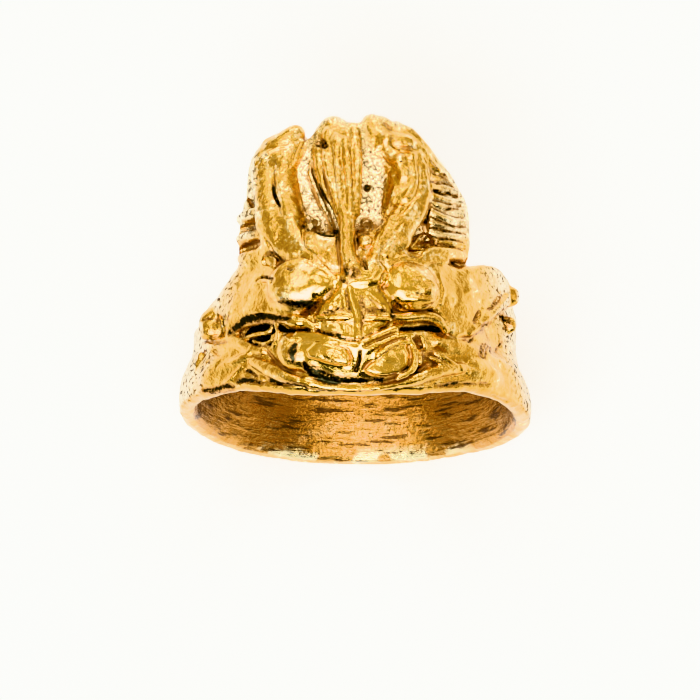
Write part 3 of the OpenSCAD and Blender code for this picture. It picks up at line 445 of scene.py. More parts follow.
# Strands that lie inside the hollows: rows of across, up, top and radius.
INNER_STRANDS = [
    [(-6.2, 5.05, 1.75, 0.14), (-5.6, 5.22, 1.95, 0.15), (-5.05, 5.3, 2.1, 0.13),
     (-4.85, 5.6, 2.1, 0.1)],
    [(-5.95, 4.78, 1.8, 0.1), (-5.4, 4.65, 1.95, 0.11), (-4.95, 4.78, 2.1, 0.1), (-4.75, 5.1, 2.2, 0.1)],
    [(3.2, 10.2, 2.6, 0.12), (3.55, 10.6, 2.3, 0.1), (3.8, 10.95, 2.3, 0.08)],
    [(-2.5, 11.95, 1.6, 0.1), (-2.1, 12.05, 1.6, 0.1), (-2, 11.75, 1.6, 0.09)],
]
GROOVES = [
    # Edges of the recess floors
    [(-2.85, 15.6, 0.06, 0.05), (-2.78, 15, 0.08, 0.05), (-2.75, 14.3, 0.1, 0.06),
     (-2.3, 13.3, 0.12, 0.06), (-2, 12.6, 0.12, 0.07), (-1.65, 12, 0.12, 0.07),
     (-1.35, 11.4, 0.1, 0.06)],
    # Valleys of the feather
    [(-1.9, 15.5, 0.05, 0.07), (-1.8, 14.5, 0.08, 0.08), (-1.5, 13.2, 0.06, 0.07)],
    [(-1.4, 16.2, 0.06, 0.09), (-1.36, 15.6, 0.08, 0.1), (-1.18, 14, 0.08, 0.09),
     (-0.96, 12.8, 0.06, 0.08)],
    [(-0.28, 16.2, 0.05, 0.09), (-0.15, 15.2, 0.08, 0.09), (-0.1, 13.8, 0.06, 0.08)],
    # Left plume: the fold under its cap, the inner line of the cap, and the groove down its middle
    [(-5.8, 15.15, 0.08, 0.07), (-5.35, 15.6, 0.1, 0.07), (-4.65, 15.98, 0.1, 0.07),
     (-4.1, 16.1, 0.08, 0.06)],
    [(-3.32, 16.4, 0.08, 0.06), (-3.5, 16, 0.1, 0.07), (-3.7, 15.3, 0.06, 0.06)],
    [(-4, 16, 0.05, 0.05), (-3.9, 15.4, 0.06, 0.06), (-3.85, 14.9, 0.04, 0.05)],
    [(-4.7, 15.2, 0.04, 0.08), (-4.8, 14.7, 0.06, 0.08), (-4.76, 14.1, 0.1, 0.08)],
    [(-4.5, 12.7, 0.1, 0.09), (-4.35, 12.2, 0.06, 0.09)],
    [(-3.08, 11.5, 0.08, 0.07), (-3.05, 10.9, 0.12, 0.07), (-2.95, 10.3, 0.12, 0.07),
     (-2.4, 9.9, 0.1, 0.07), (-1.85, 9.45, 0.08, 0.06)],
    [(-5.3, 10.9, 0.08, 0.07), (-4.95, 10.3, 0.14, 0.08), (-4.85, 10, 0.1, 0.07)],
    # Edges of the stem and the small ball
    [(-1.08, 11.2, 0.12, 0.06), (-1, 10.4, 0.12, 0.06), (-0.92, 9.6, 0.14, 0.06),
     (-0.88, 8.8, 0.15, 0.07)],
    [(0.08, 11.6, 0.08, 0.06), (0.06, 11, 0.1, 0.06), (0.06, 10.3, 0.06, 0.05), (0.08, 9.9, 0.06, 0.05)],
    [(0.24, 10.3, 0.06, 0.05), (0.55, 10.2, 0.08, 0.05), (0.85, 10.22, 0.05, 0.05)],
    [(0.15, 11.3, 0.08, 0.06), (0.4, 11.14, 0.1, 0.06), (0.9, 11.2, 0.06, 0.05)],
    [(-0.7, 9.6, 0.06, 0.05), (-0.3, 9.45, 0.1, 0.05), (0, 9.2, 0.06, 0.05)],
    # Right plume: the lines between its lobes
    [(0.55, 17.5, 0.08, 0.08), (0.8, 17, 0.05, 0.07)],
    [(1.6, 17.7, 0.1, 0.05), (1.75, 17.55, 0.14, 0.06)],
    [(1.8, 17.5, 0.12, 0.05), (2.1, 17.2, 0.14, 0.06)],
    [(2.2, 16.95, 0.1, 0.06), (2.1, 16.5, 0.12, 0.06), (2.25, 16.2, 0.1, 0.06), (2.8, 16.12, 0.1, 0.06),
     (3.4, 16.1, 0.08, 0.06)],
    [(1.5, 15.7, 0.06, 0.06), (1.85, 15.2, 0.1, 0.07), (2.2, 15, 0.08, 0.06)],
    [(3.62, 15.4, 0.06, 0.08), (3.75, 14.6, 0.1, 0.08), (3.7, 13.6, 0.08, 0.08), (3.3, 13, 0.06, 0.07)],
    [(4, 15.6, 0.08, 0.06), (4.35, 15, 0.06, 0.06)],
    [(1.9, 12.5, 0.06, 0.05), (2.1, 13, 0.08, 0.05), (2.25, 13.7, 0.06, 0.05)],
    [(2.95, 11.95, 0.05, 0.06), (2.5, 11.35, 0.1, 0.07), (1.95, 10.7, 0.1, 0.07),
     (1.55, 10.1, 0.08, 0.07), (1.35, 9.5, 0.06, 0.06)],
    [(1.9, 11.55, 0.05, 0.06), (1.5, 11.1, 0.08, 0.06), (1.25, 10.4, 0.06, 0.06)],
    # Edge between the right plume and the fan
    [(4.25, 15, 0.06, 0.07), (4.4, 14.2, 0.1, 0.08), (4.42, 13.5, 0.12, 0.08), (4.42, 12.9, 0.12, 0.07)],
    [(4.55, 15.3, 0.12, 0.05), (4.75, 15.1, 0.12, 0.05)],
    # Nose shield: dark dashes over the cross, and the line round it
    [(-0.5, 7.7, 0.03, 0.06), (-0.45, 7, 0.05, 0.08), (-0.3, 6.5, 0.04, 0.06)],
    [(0.25, 7.4, 0.03, 0.06), (0.35, 6.8, 0.05, 0.1), (0.45, 6.3, 0.04, 0.07)],
    [(-1.1, 7.85, 0.05, 0.06), (-1.75, 7.15, 0.06, 0.07), (-2.4, 6.5, 0.08, 0.07),
     (-2.5, 6.2, 0.1, 0.07), (-2.35, 5.6, 0.08, 0.06)],
    [(-2.3, 5.45, 0.08, 0.06), (-1.5, 5.15, 0.1, 0.07), (-0.6, 4.88, 0.1, 0.07), (0.3, 4.85, 0.1, 0.06)],
    [(0.3, 4.85, 0.06, 0.05), (0.9, 5.18, 0.08, 0.06), (2.1, 5.8, 0.08, 0.06)],
    [(2.15, 6.1, 0.1, 0.07), (2.12, 6.6, 0.1, 0.07), (1.95, 7, 0.08, 0.05), (1.5, 7.7, 0.06, 0.05)],
    [(-2.7, 6.25, 0.14, 0.1), (-3.2, 6.35, 0.1, 0.07)],
    # Round the right eye and below the ledges
    [(1.45, 8.15, 0.12, 0.06), (1.6, 8.6, 0.1, 0.06), (1.9, 9, 0.08, 0.05), (2.4, 9.35, 0.05, 0.05)],
    [(2.25, 6.6, 0.2, 0.13), (2.7, 6.45, 0.2, 0.11), (3.9, 6.5, 0.15, 0.1), (4.5, 6.55, 0.1, 0.08)],
    [(2.9, 6.95, 0.1, 0.06), (3.1, 6.75, 0.12, 0.07)],
    [(3.9, 6.8, 0.1, 0.06), (4.4, 7, 0.12, 0.07)],
    [(3.1, 7.55, 0.06, 0.07), (3.9, 7.5, 0.1, 0.08), (4.5, 7.45, 0.06, 0.06)],
    [(5, 9.3, 0.08, 0.06), (4.5, 9.35, 0.12, 0.06), (4.1, 9, 0.12, 0.06)],
    # Outline of the left lip
    [(-1.3, 4.62, 0.06, 0.05), (-0.9, 4.5, 0.12, 0.06), (-0.5, 4.36, 0.12, 0.06),
     (-0.25, 3.96, 0.12, 0.06), (-0.2, 3.5, 0.12, 0.06), (-0.5, 3.3, 0.1, 0.06), (-1.2, 3.55, 0.1, 0.06),
     (-1.9, 3.85, 0.06, 0.06)],
    # Outline of the right lip
    [(0.5, 3.12, 0.14, 0.07), (0.8, 3.5, 0.14, 0.07), (1.3, 3.75, 0.1, 0.06), (1.75, 4.1, 0.12, 0.07),
     (2.3, 4.42, 0.1, 0.06), (2.9, 4.6, 0.06, 0.05)],
    [(0.55, 4.5, 0.12, 0.07), (1.3, 4.85, 0.14, 0.08), (2.4, 5.3, 0.12, 0.07)],
    [(1.2, 4.25, 0.1, 0.06), (1.9, 4.65, 0.12, 0.07), (2.7, 4.95, 0.08, 0.06)],
    [(3.62, 5, 0.14, 0.07), (3.85, 4.65, 0.16, 0.07), (4.05, 4.1, 0.12, 0.06)],
    [(3.5, 4.4, 0.1, 0.06), (3.62, 4, 0.12, 0.08), (3.65, 3.6, 0.1, 0.06)],
    # Folds round the muzzle, and the mark on its left bulge
    [(-5.12, 4.25, 0.14, 0.07), (-4.75, 3.75, 0.2, 0.09), (-4.3, 3.3, 0.2, 0.09),
     (-3.64, 2.95, 0.18, 0.08), (-3.1, 2.72, 0.14, 0.08)],
    [(4.2, 3.45, 0.14, 0.07), (3.7, 3.1, 0.14, 0.07), (3.2, 2.8, 0.12, 0.07)],
    # Crease above the rim
    [(-5.3, 2.45, 0.1, 0.1), (-4.4, 2.32, 0.12, 0.12), (-3.4, 2.15, 0.12, 0.12), (-2.2, 1.92, 0.12, 0.1),
     (-1, 1.82, 0.12, 0.1), (0, 1.8, 0.12, 0.1), (1, 1.82, 0.1, 0.1), (2.4, 1.95, 0.1, 0.08)],
    [(4.6, 2.2, 0.08, 0.07), (5.4, 2.2, 0.14, 0.1), (6, 2.28, 0.14, 0.1), (6.8, 2.32, 0.1, 0.07),
     (7.8, 2.25, 0.08, 0.07)],
    [(-8.9, 1.95, 0.1, 0.09), (-8, 2.08, 0.12, 0.12), (-7.5, 2.22, 0.12, 0.12), (-7.1, 2.12, 0.1, 0.1)],
    [(-6.85, 2.42, 0.1, 0.1), (-6.4, 2.5, 0.12, 0.12), (-5.8, 2.42, 0.1, 0.1), (-5.35, 2.3, 0.08, 0.07)],
    # Marks on the cheeks and wings
    [(-6.4, 3.1, 0.12, 0.09), (-6.1, 3, 0.14, 0.1), (-5.7, 2.7, 0.08, 0.06)],
    [(-9, 4.92, 0.1, 0.06), (-8.6, 4.78, 0.14, 0.07), (-8.2, 4.7, 0.18, 0.09), (-7.5, 4.75, 0.12, 0.06)],
    [(-8.95, 6, 0.1, 0.06), (-8.7, 6.12, 0.14, 0.07), (-8.35, 6.1, 0.1, 0.06)],
    [(-8.75, 3.4, 0.06, 0.05), (-8.6, 3.7, 0.08, 0.05)],
    [(-8.15, 3.3, 0.08, 0.05), (-7.9, 3.6, 0.08, 0.05), (-7.4, 3.65, 0.06, 0.05)],
    [(-5.75, 8.32, 0.12, 0.07), (-5.4, 8.55, 0.16, 0.08), (-5.1, 8.5, 0.12, 0.07),
     (-4.8, 8.45, 0.12, 0.07)],
    [(-5.1, 8.2, 0.08, 0.05), (-4.85, 8.25, 0.1, 0.06)],
    [(-3.95, 9.05, 0.1, 0.06), (-3.72, 8.98, 0.12, 0.06)],
    [(4.12, 2.4, 0.08, 0.06), (4.45, 2.8, 0.06, 0.05)],
    [(8, 1.62, 0.1, 0.05), (8.9, 1.25, 0.1, 0.05)],
    [(7.25, 6.5, 0.16, 0.1), (7.15, 6.25, 0.22, 0.13), (7, 5.95, 0.18, 0.11)],
    [(7.75, 6.68, 0.1, 0.06), (7.98, 6.72, 0.16, 0.07), (8.1, 7, 0.16, 0.07), (8.35, 7.35, 0.12, 0.06),
     (8.75, 7.6, 0.08, 0.05)],
    [(7.1, 5.25, 0.1, 0.06), (7.7, 5.85, 0.14, 0.07), (8.3, 6.2, 0.12, 0.06), (8.85, 6.85, 0.12, 0.06)],
    [(0, 10.82, 0.2, 0.07), (0.02, 10.72, 0.2, 0.07)],
]
# Painted shade and painted dark reflections along lines: how dark, and rows of across, up and radius.
SHADE_STROKES = [
    # Under the muzzle, the left eye and the left wing's edge
    (0.4, [(-2.98, 3.5, 0.14), (-2.6, 3.1, 0.32), (-2.1, 2.82, 0.36), (-1.5, 2.58, 0.32),
           (-0.8, 2.52, 0.22), (0.1, 2.48, 0.18), (0.7, 2.45, 0.12)]),
    (0.4, [(1, 2.5, 0.13), (1.65, 2.5, 0.13)]),
    (0.4, [(-4.5, 7.1, 0.06), (-4, 7.05, 0.13), (-3.5, 7, 0.22), (-3, 6.95, 0.3), (-2.6, 6.92, 0.28),
           (-2.25, 7, 0.14)]),
    (0.16, [(-3.9, 6.6, 0.1), (-3.2, 6.5, 0.2), (-2.5, 6.5, 0.2)]),
    (0.51, [(-7.45, 5.25, 0.08), (-7.1, 5.52, 0.14), (-6.7, 5.85, 0.18), (-6.3, 6.08, 0.2),
            (-5.8, 6.22, 0.2), (-5.3, 6.28, 0.18), (-4.8, 6.22, 0.16), (-4.3, 6.12, 0.1),
            (-3.8, 6.08, 0.05)]),
    (0.16, [(-7.1, 5.3, 0.12), (-6.3, 5.8, 0.16), (-5.2, 5.98, 0.16), (-4.3, 5.85, 0.14),
            (-3.6, 5.6, 0.12)]),
    (0.51, [(-3.5, 4.6, 0.09), (-3.65, 4.3, 0.19), (-3.7, 4, 0.18), (-3.6, 3.55, 0.08)]),
    # Folds that run into the rim
    (0.4, [(-4.9, 2.5, 0.12), (-4.3, 2.35, 0.18), (-3.6, 2.25, 0.18), (-3, 2.13, 0.15),
           (-2.4, 1.98, 0.1), (-1.6, 1.88, 0.1), (-0.8, 1.85, 0.09), (0.3, 1.83, 0.07)]),
    (0.4, [(-9, 1.9, 0.08), (-8.5, 1.95, 0.1), (-8, 2.02, 0.13), (-7.5, 2.15, 0.13),
           (-7.15, 2.1, 0.08)]),
    (0.4, [(-8.6, 1.74, 0.03), (-7.9, 1.78, 0.06), (-7.1, 1.9, 0.05)]),
    (0.4, [(-6.85, 2.42, 0.1), (-6.4, 2.5, 0.16), (-5.9, 2.45, 0.12), (-5.4, 2.35, 0.05)]),
    (0.4, [(-6.4, 3.1, 0.05), (-6.1, 3, 0.09), (-5.75, 2.75, 0.04)]),
    (0.4, [(5, 2.2, 0.06), (5.5, 2.3, 0.1), (6, 2.36, 0.07)]),
    (0.4, [(6.3, 2.32, 0.05), (6.7, 2.32, 0.05)]),
    (0.4, [(7.3, 2.35, 0.05), (7.65, 2.35, 0.06)]),
    # Nose shield: strips beside its ridge, its left edge, the line under it, and dashes over the cross
    (0.2, [(-0.5, 7.75, 0.1), (-0.42, 7.1, 0.13), (-0.3, 6.5, 0.1)]),
    (0.2, [(0.35, 7.4, 0.1), (0.45, 6.8, 0.17), (0.5, 6.2, 0.14), (0.35, 5.5, 0.12)]),
    (0.2, [(-1.25, 7.85, 0.1), (-1.8, 7.2, 0.16), (-2.4, 6.6, 0.16)]),
    (0.5, [(-2.25, 5.35, 0.05), (-1.6, 5.2, 0.09), (-1, 5.1, 0.11), (-0.5, 4.9, 0.06),
           (0.35, 4.84, 0.05), (0.5, 5, 0.04)]),
    (0.14, [(0.55, 5, 0.05), (1.2, 5.38, 0.08), (2, 5.72, 0.08)]),
    (0.5, [(-1.85, 6.45, 0.04), (-1.3, 6.6, 0.05), (-0.75, 6.75, 0.04)]),
    (0.2, [(-1.8, 6.38, 0.05), (-0.65, 6.5, 0.1)]),
    (0.18, [(-1.9, 5.9, 0.05), (-0.3, 5.9, 0.08), (0.6, 5.9, 0.05), (1.9, 5.9, 0.05)]),
    (0.5, [(0.8, 6.5, 0.04), (1.15, 6.68, 0.05), (1.85, 6.55, 0.04)]),
    (0.2, [(0.8, 6.4, 0.07), (1.85, 6.4, 0.07)]),
    (0.18, [(0.7, 7.3, 0.05), (1.3, 7, 0.08), (1.9, 6.95, 0.05)]),
    (0.35, [(2.05, 6.9, 0.02), (1.65, 7.45, 0.03), (1.38, 7.85, 0.06), (1.42, 8.2, 0.03),
            (1.6, 8.6, 0.02)]),
    # Small ball and ring beside the stem
    (0.4, [(0.36, 11.35, 0.03), (0.32, 11.7, 0.04), (0.55, 11.95, 0.05), (0.95, 11.85, 0.05),
           (1.05, 11.5, 0.03), (0.85, 11.25, 0.04), (0.5, 11.15, 0.05), (0.2, 11.2, 0.04)]),
    (0.35, [(0.04, 11, 0.03), (0.04, 10.75, 0.04)]),
    (0.3, [(0.25, 10.25, 0.03), (0.6, 10.16, 0.03), (0.9, 10.3, 0.02)]),
    # Nose tip and right eye
    (0.2, [(0.12, 10, 0.1), (0.2, 9.6, 0.14), (0.42, 9.2, 0.12)]),
    (0.5, [(0.52, 9.5, 0.05), (0.58, 9.2, 0.08), (0.6, 8.98, 0.05)]),
    (0.35, [(-0.93, 9.2, 0.03), (-0.9, 8.7, 0.04)]),
    (0.4, [(-0.88, 8.5, 0.05), (-0.72, 8.33, 0.12), (-0.5, 8.26, 0.05)]),
    (0.2, [(-0.65, 9.1, 0.2), (-0.3, 8.8, 0.38), (0.1, 8.75, 0.3)]),
    (0.4, [(2.2, 7.35, 0.05), (2.5, 7, 0.13), (2.75, 6.8, 0.08)]),
    (0.4, [(2.15, 6.6, 0.1), (2.2, 6.2, 0.12)]),
    (0.4, [(4.2, 6.8, 0.05), (4.5, 7.1, 0.05)]),
    # Lines of the right fan
    (0.2, [(4.3, 15, 0.07), (4.8, 14.55, 0.07), (5.5, 14.2, 0.06)]),
    (0.5, [(5, 14.47, 0.04), (5.35, 14.6, 0.04)]),
    (0.36, [(4.35, 14.15, 0.07), (4.6, 14.1, 0.05), (5.1, 14.05, 0.05), (5.8, 13.85, 0.04)]),
    (0.51, [(4.45, 13.65, 0.1), (4.8, 13.55, 0.14), (5.2, 13.4, 0.05), (5.5, 13.5, 0.05),
            (5.75, 13.3, 0.04), (6.05, 13.3, 0.03)]),
    (0.35, [(4.5, 13.1, 0.05), (5.1, 12.9, 0.05), (5.6, 12.8, 0.05), (6.25, 12.7, 0.03)]),
    (0.4, [(5.3, 12.5, 0.04), (5.6, 12.55, 0.07), (6.05, 12.55, 0.03)]),
    (0.3, [(4.5, 12.65, 0.05), (5.1, 12.3, 0.06), (5.7, 12.1, 0.05), (6.4, 12, 0.03)]),
    (0.5, [(4.4, 12.1, 0.05), (5, 11.8, 0.06), (5.7, 11.55, 0.05), (6.5, 11.5, 0.03)]),
    (0.5, [(4.35, 11.45, 0.05), (4.8, 11.38, 0.05), (5.4, 11.22, 0.05), (6.5, 11.05, 0.03)]),
    (0.51, [(4.5, 10.9, 0.05), (4.9, 10.8, 0.05), (5.5, 10.75, 0.04), (6.3, 10.6, 0.03)]),
    (0.4, [(4.8, 10.52, 0.04), (5.5, 10.36, 0.04), (6.2, 10.2, 0.03)]),
    (0.5, [(4.5, 15.35, 0.04), (4.8, 14.95, 0.04)]),
    (0.2, [(5.6, 9.5, 0.16), (6.2, 9.55, 0.14)]),
    # Notch and ball of the left wing
    (0.35, [(-7.42, 6.4, 0.03), (-7.48, 6.1, 0.08), (-7.6, 5.97, 0.07)]),
    (0.35, [(-8.9, 6.03, 0.03), (-8.65, 6.12, 0.05), (-8.4, 6.1, 0.03)]),
    # Marks at the left brow
    (0.5, [(-5.75, 8.3, 0.05), (-5.45, 8.48, 0.07), (-5.15, 8.52, 0.07), (-4.8, 8.42, 0.05)]),
    (0.35, [(-5.3, 8.2, 0.05), (-4.9, 8.25, 0.06)]),
    (0.5, [(-3.95, 9.02, 0.04), (-3.72, 8.95, 0.04)]),
    # Strap, hole and shadow of the right wing
    (0.35, [(7.9, 6.68, 0.04), (8.1, 6.85, 0.08), (8.35, 7.1, 0.05), (8.6, 7.4, 0.03)]),
    (0.46, [(6.95, 5.12, 0.04), (7.6, 5.6, 0.06), (8.2, 6.1, 0.06), (8.6, 6.55, 0.06)]),
    (0.17, [(7, 6, 0.1), (7.2, 6.4, 0.14)]),
    (0.5, [(8.5, 6.3, 0.1), (8.6, 6.1, 0.16), (8.72, 5.85, 0.17), (8.87, 5.5, 0.1)]),
    (0.16, [(8.5, 6.45, 0.15), (8.85, 6.2, 0.28), (9.1, 5.7, 0.2)]),
    (0.09, [(7, 4.4, 0.3), (7.9, 4.35, 0.45), (8.6, 3.9, 0.3)]),
]
# Small pits: across, up, depth and radius.
PITS = [
    (0.7, 13.75, 0.35, 0.15), (0.82, 12.45, 0.15, 0.06), (0.78, 12.2, 0.12, 0.05),
    (0.9, 15.9, 0.15, 0.08), (-5.6, 13.4, 0.1, 0.05), (-5.45, 13.25, 0.1, 0.055),
    (-0.52, 12.55, 0.1, 0.05), (-0.36, 12.22, 0.12, 0.06), (2.85, 16.4, 0.1, 0.06),
    (2.65, 16.45, 0.08, 0.05), (-8.58, 5.58, 0.08, 0.04), (8.48, 3.6, 0.12, 0.07),
    (2.5, 15.45, 0.08, 0.05), (2.7, 15.3, 0.08, 0.05), (-2.75, 15.1, 0.08, 0.05),
    (-3.0, 15.1, 0.08, 0.05),
]
# Scratches in the right cheek: across and up of both ends.
SCRATCHES = [
    (7.25, 4.0, 7.5, 4.65), (7.6, 4.0, 7.85, 4.55), (7.9, 4.1, 8.05, 4.5), (8.2, 4.1, 8.6, 4.75),
    (7.4, 4.05, 7.7, 4.7), (6.6, 4.75, 6.9, 4.9), (7.3, 3.9, 7.6, 3.8),
]


# The solid, as signed distances in millimetres on a grid.

def spot(across, up, height):
    """A charted point at a height above the finger hole, in the ring's own millimetres."""
    r = HOLE_R + height
    front = math.sqrt(max(0.01, r * r - across * across))
    return np.array([across, (up - front * LEAN_SIN) / LEAN_COS - ORIGIN_Y, AXIS_Z + front])


CORNERS = [(i, j, k) for i in (0, 1) for j in (0, 1) for k in (0, 1)]


def between(grid, base, part):
    """The grid's values at each cell's corners, weighted by how far into the cell each point is."""
    total = 0
    for corner in CORNERS:
        weight = np.prod(np.where(corner, part, 1 - part), axis=1)
        total = total + weight * grid[tuple(((base + corner) % grid.shape).T)]
    return total


def fade(value, nought, full):
    """A value from 0 to 1, by how far it has come from one limit to the other."""
    return np.clip((value - nought) / (full - nought), 0, 1)


def soft_max(a, b, blend):
    """The larger of two distances, with the edge between them rounded."""
    h = np.maximum(blend - np.abs(a - b), 0) / blend
    return np.maximum(a, b) + h * h * blend / 4


def through(points):
    """Rows of numbers with two more between each pair, on a smooth curve through them all."""
    rows = np.array(points, float)
    if len(rows) < 3:
        return rows
    padded = np.vstack([2 * rows[0] - rows[1], rows, 2 * rows[-1] - rows[-2]])
    curve = []
    for i in range(len(rows) - 1):
        p0, p1, p2, p3 = padded[i : i + 4]
        for t in (0, 1 / 3, 2 / 3):
            curve.append(
                0.5 * (2 * p1 + (p2 - p0) * t + (2 * p0 - 5 * p1 + 4 * p2 - p3) * t**2
                       + (3 * p1 - p0 - 3 * p2 + p3) * t**3)
            )
    return np.array(curve + [rows[-1]])


class Solid:
    """Signed distances on a grid, negative inside."""

    def __init__(self, low, high, step):
        self.low = np.array(low, float)
        self.step = step
        self.count = np.ceil((np.array(high) - self.low) / step).astype(int) + 1
        self.field = np.full(self.count, 9.0, np.float32)
        self.painted_shade = np.zeros(self.count, np.float32)
        # How dark the shade painted into the next cut is.
        self.depth = 0.0

    def block(self, low, high):
        """The grid's slices round a box, and the coordinates along each axis there."""
        first = np.clip(np.floor((low - self.low) / self.step).astype(int), 0, self.count - 1)
        last = np.clip(np.ceil((high - self.low) / self.step).astype(int) + 1, 1, self.count)
        slices = tuple(slice(a, b) for a, b in zip(first, last))
        axes = [
            (self.low[i] + self.step * np.arange(first[i], last[i])).astype(np.float32)
            for i in range(3)
        ]
        return slices, np.ix_(*axes)

    def join(self, slices, distance, blend):
        """Adds a shape, with a fillet of about the size of blend."""
        self.field[slices] = -soft_max(-self.field[slices], -distance, blend)

    def carve(self, slices, distance, blend):
        """Takes a shape away, with its edges rounded by about the size of blend, and paints shade into
        it.
        """
        self.field[slices] = soft_max(self.field[slices], -distance, blend)
        self.darken(slices, distance, self.depth)

    def darken(self, slices, distance, level):
        """Paints shade over what lies in a shape, fading over its edge."""
        mark = level * fade(distance, SHADE_EDGE, SHADE_FULL)
        self.painted_shade[slices] = np.maximum(self.painted_shade[slices], mark)

    def clear(self, slices, distance, blend):
        """Takes the painted shade off a shape's surface."""
        self.painted_shade[slices] = np.minimum(self.painted_shade[slices], np.maximum(distance, 0) * 3)

    def run(self, spots, radii, blend, change):
        """A round line through the spots, with a radius at each, added or taken away."""
        spots = np.array(spots)
        reach = max(radii) + 2.5 * min(blend, 0.5) + 2 * self.step
        slices, (x, y, z) = self.block(spots.min(0) - reach, spots.max(0) + reach)
        nearest = None
        for a, b, ra, rb in zip(spots[:-1], spots[1:], radii[:-1], radii[1:]):
            d = (b - a).astype(np.float32)
            u, v, w = x - np.float32(a[0]), y - np.float32(a[1]), z - np.float32(a[2])
            t = np.clip((u * d[0] + v * d[1] + w * d[2]) / max(float(d @ d), 1e-6), 0, 1)
            off = np.sqrt((u - t * d[0]) ** 2 + (v - t * d[1]) ** 2 + (w - t * d[2]) ** 2)
            off -= np.float32(ra) + t * np.float32(rb - ra)
            nearest = off if nearest is None else np.minimum(nearest, off)
        change(slices, nearest, blend)

    def value(self, points, field=None):
        """The distances at some points, read between the grid's own."""
        field = self.field if field is None else field
        place = np.clip((points - self.low) / self.step, 0, self.count - 1.001)
        base = place.astype(int)
        return between(field, base, place - base)

    def ground(self, rows):
        """The height of the surface that the camera sees at each charted row, evened out along them."""
        heights = np.arange(SEARCH_TOP, SEARCH_FOOT, -SEARCH_STEP)
        found = []
        for across, up, *_ in rows:
            values = self.value(np.array([spot(across, up, h) for h in heights]))
            first = max(1, int((values < 0).argmax()))
            before, after = values[first - 1], values[first]
            found.append(heights[first - 1] - SEARCH_STEP * before / max(before - after, 1e-6))
        found = np.array(found)
        for _ in range(2):
            padded = np.r_[found[0], found, found[-1]]
            found = padded[:-2] / 4 + padded[1:-1] / 2 + padded[2:] / 4
        return found

    def strand(self, rows, blend=0.14, change=None):
        """A round line with its tops at the charted heights, joined unless told otherwise."""
        rows = through(rows)
        self.run([spot(a, b, top - r) for a, b, top, r in rows], rows[:, 3], blend, change or self.join)

    def ridge(self, rows, blend=0.1):
        """A round line that rises above the surface by the charted amounts."""
        rows = through(rows)
        tops = self.ground(rows) + rows[:, 2]
        spots = [spot(a, b, top - r) for (a, b, _, r), top in zip(rows, tops)]
        self.run(spots, rows[:, 3], blend, self.join)

    def groove(self, rows, blend=0.06, darkness=1.3):
        """A cut of the charted depths, in layers where it is much deeper than its radius. Shade is
        painted into it, darker the deeper it is.
        """
        rows = through(rows)
        ground, depth, radii = self.ground(rows), rows[:, 2], rows[:, 3]
        layers = max(1, int(np.ceil((depth / radii).max() / 1.6)))
        self.depth = darkness * float(depth.max())
        for layer in range(1, layers + 1):
            axis = ground + radii - depth * layer / layers
            self.run([spot(a, b, h) for (a, b), h in zip(rows[:, :2], axis)], radii, blend, self.carve)

    def paint_shade(self, level, rows):
        """Painted shade on the surface along a line."""
        rows = through(rows)
        spots = [spot(a, b, h) for (a, b), h in zip(rows[:, :2], self.ground(rows))]
        self.run(spots, rows[:, 2], level, self.darken)

    def mound(self, row):
        """A rounded shape that stands on the band and is turned in its surface."""
        across, up, half_width, half_height, turn, top, thickness, power, blend = row
        centre = spot(across, up, top - thickness)
        angle = math.atan2(centre[0], centre[2] - AXIS_Z)
        out = np.array([math.sin(angle), 0, math.cos(angle)])
        side = np.array([math.cos(angle), 0, -math.sin(angle)])
        level = np.array([0.0, 1.0, 0.0])
        c, s = math.cos(math.radians(turn)), math.sin(math.radians(turn))
        wide, tall = c * side + s * level, c * level - s * side
        reach = max(half_width, half_height, thickness) * 1.2 + 2 * blend + 2 * self.step
        slices, (x, y, z) = self.block(centre - reach, centre + reach)
        x, y, z = (v - np.float32(at) for v, at in zip((x, y, z), centre))
        halves = (half_width, half_height, thickness)
        shares = [
            np.abs(x * np.float32(a) + y * np.float32(b) + z * np.float32(c)) / np.float32(half)
            for (a, b, c), half in zip((wide, tall, out), halves)
        ]
        size = sum(share**power for share in shares) ** (1 / power)
        slope = np.sqrt(sum((share ** (power - 1) / half) ** 2 for share, half in zip(shares, halves)))
        slope = slope / np.maximum(size, 1e-3) ** (power - 1)
        self.join(slices, (size - 1) / np.maximum(slope, 1e-3), blend)

    def sheet(self, outline, shape, thickness=None, blend=0.35, edge=0.5):
        """A sheet inside a charted outline, with its top blended from charted rows. Its thickness is
        blended from them too, unless it is given."""
        shape = np.array(shape, float)
        corners = np.array([spot(a, b, h) for a, b in outline for h in (0.4, shape[:, 2].max())])
        reach = blend + edge + 2 * self.step
        slices, (x, y, z) = self.block(corners.min(0) - reach, corners.max(0) + reach)
        front = z - AXIS_Z
        across = x + 0 * y + 0 * z
        up = (y + ORIGIN_Y) * LEAN_COS + front * LEAN_SIN + 0 * x
        height = np.sqrt(x * x + front * front) - HOLE_R
        weights, tops, thick = 0, 0, 0
        for a, b, top, *own in shape:
            weight = np.exp(-((across - a) ** 2 + (up - b) ** 2) / 0.6) + 1e-9
            weights, tops = weights + weight, tops + weight * top
            thick = thick + weight * (own[0] if own else thickness)
        tops, thick = tops / weights, thick / weights
        nearest, inside = np.float32(99), np.zeros(across.shape, bool)
        for (a0, b0), (a1, b1) in zip(outline, outline[1:] + outline[:1]):
            t = (across - a0) * (a1 - a0) + (up - b0) * (b1 - b0)
            t = np.clip(t / ((a1 - a0) ** 2 + (b1 - b0) ** 2), 0, 1)
            off = np.hypot(across - a0 - t * (a1 - a0), up - b0 - t * (b1 - b0))
            nearest = np.minimum(nearest, off)
            crosses = (up < b0) != (up < b1)
            level = (up - b0) / (b1 - b0 if b1 != b0 else 1e-9)
            inside ^= crosses & (across < a0 + level * (a1 - a0))
        beyond = np.where(inside, -nearest, nearest)
        slab = np.abs(height - tops + thick / 2) - thick / 2
        self.join(slices, soft_max(beyond, slab, edge).astype(np.float32), blend)


def columns(table):
    """A chart's columns, for reading between its rows."""
    return np.array(table, float).T


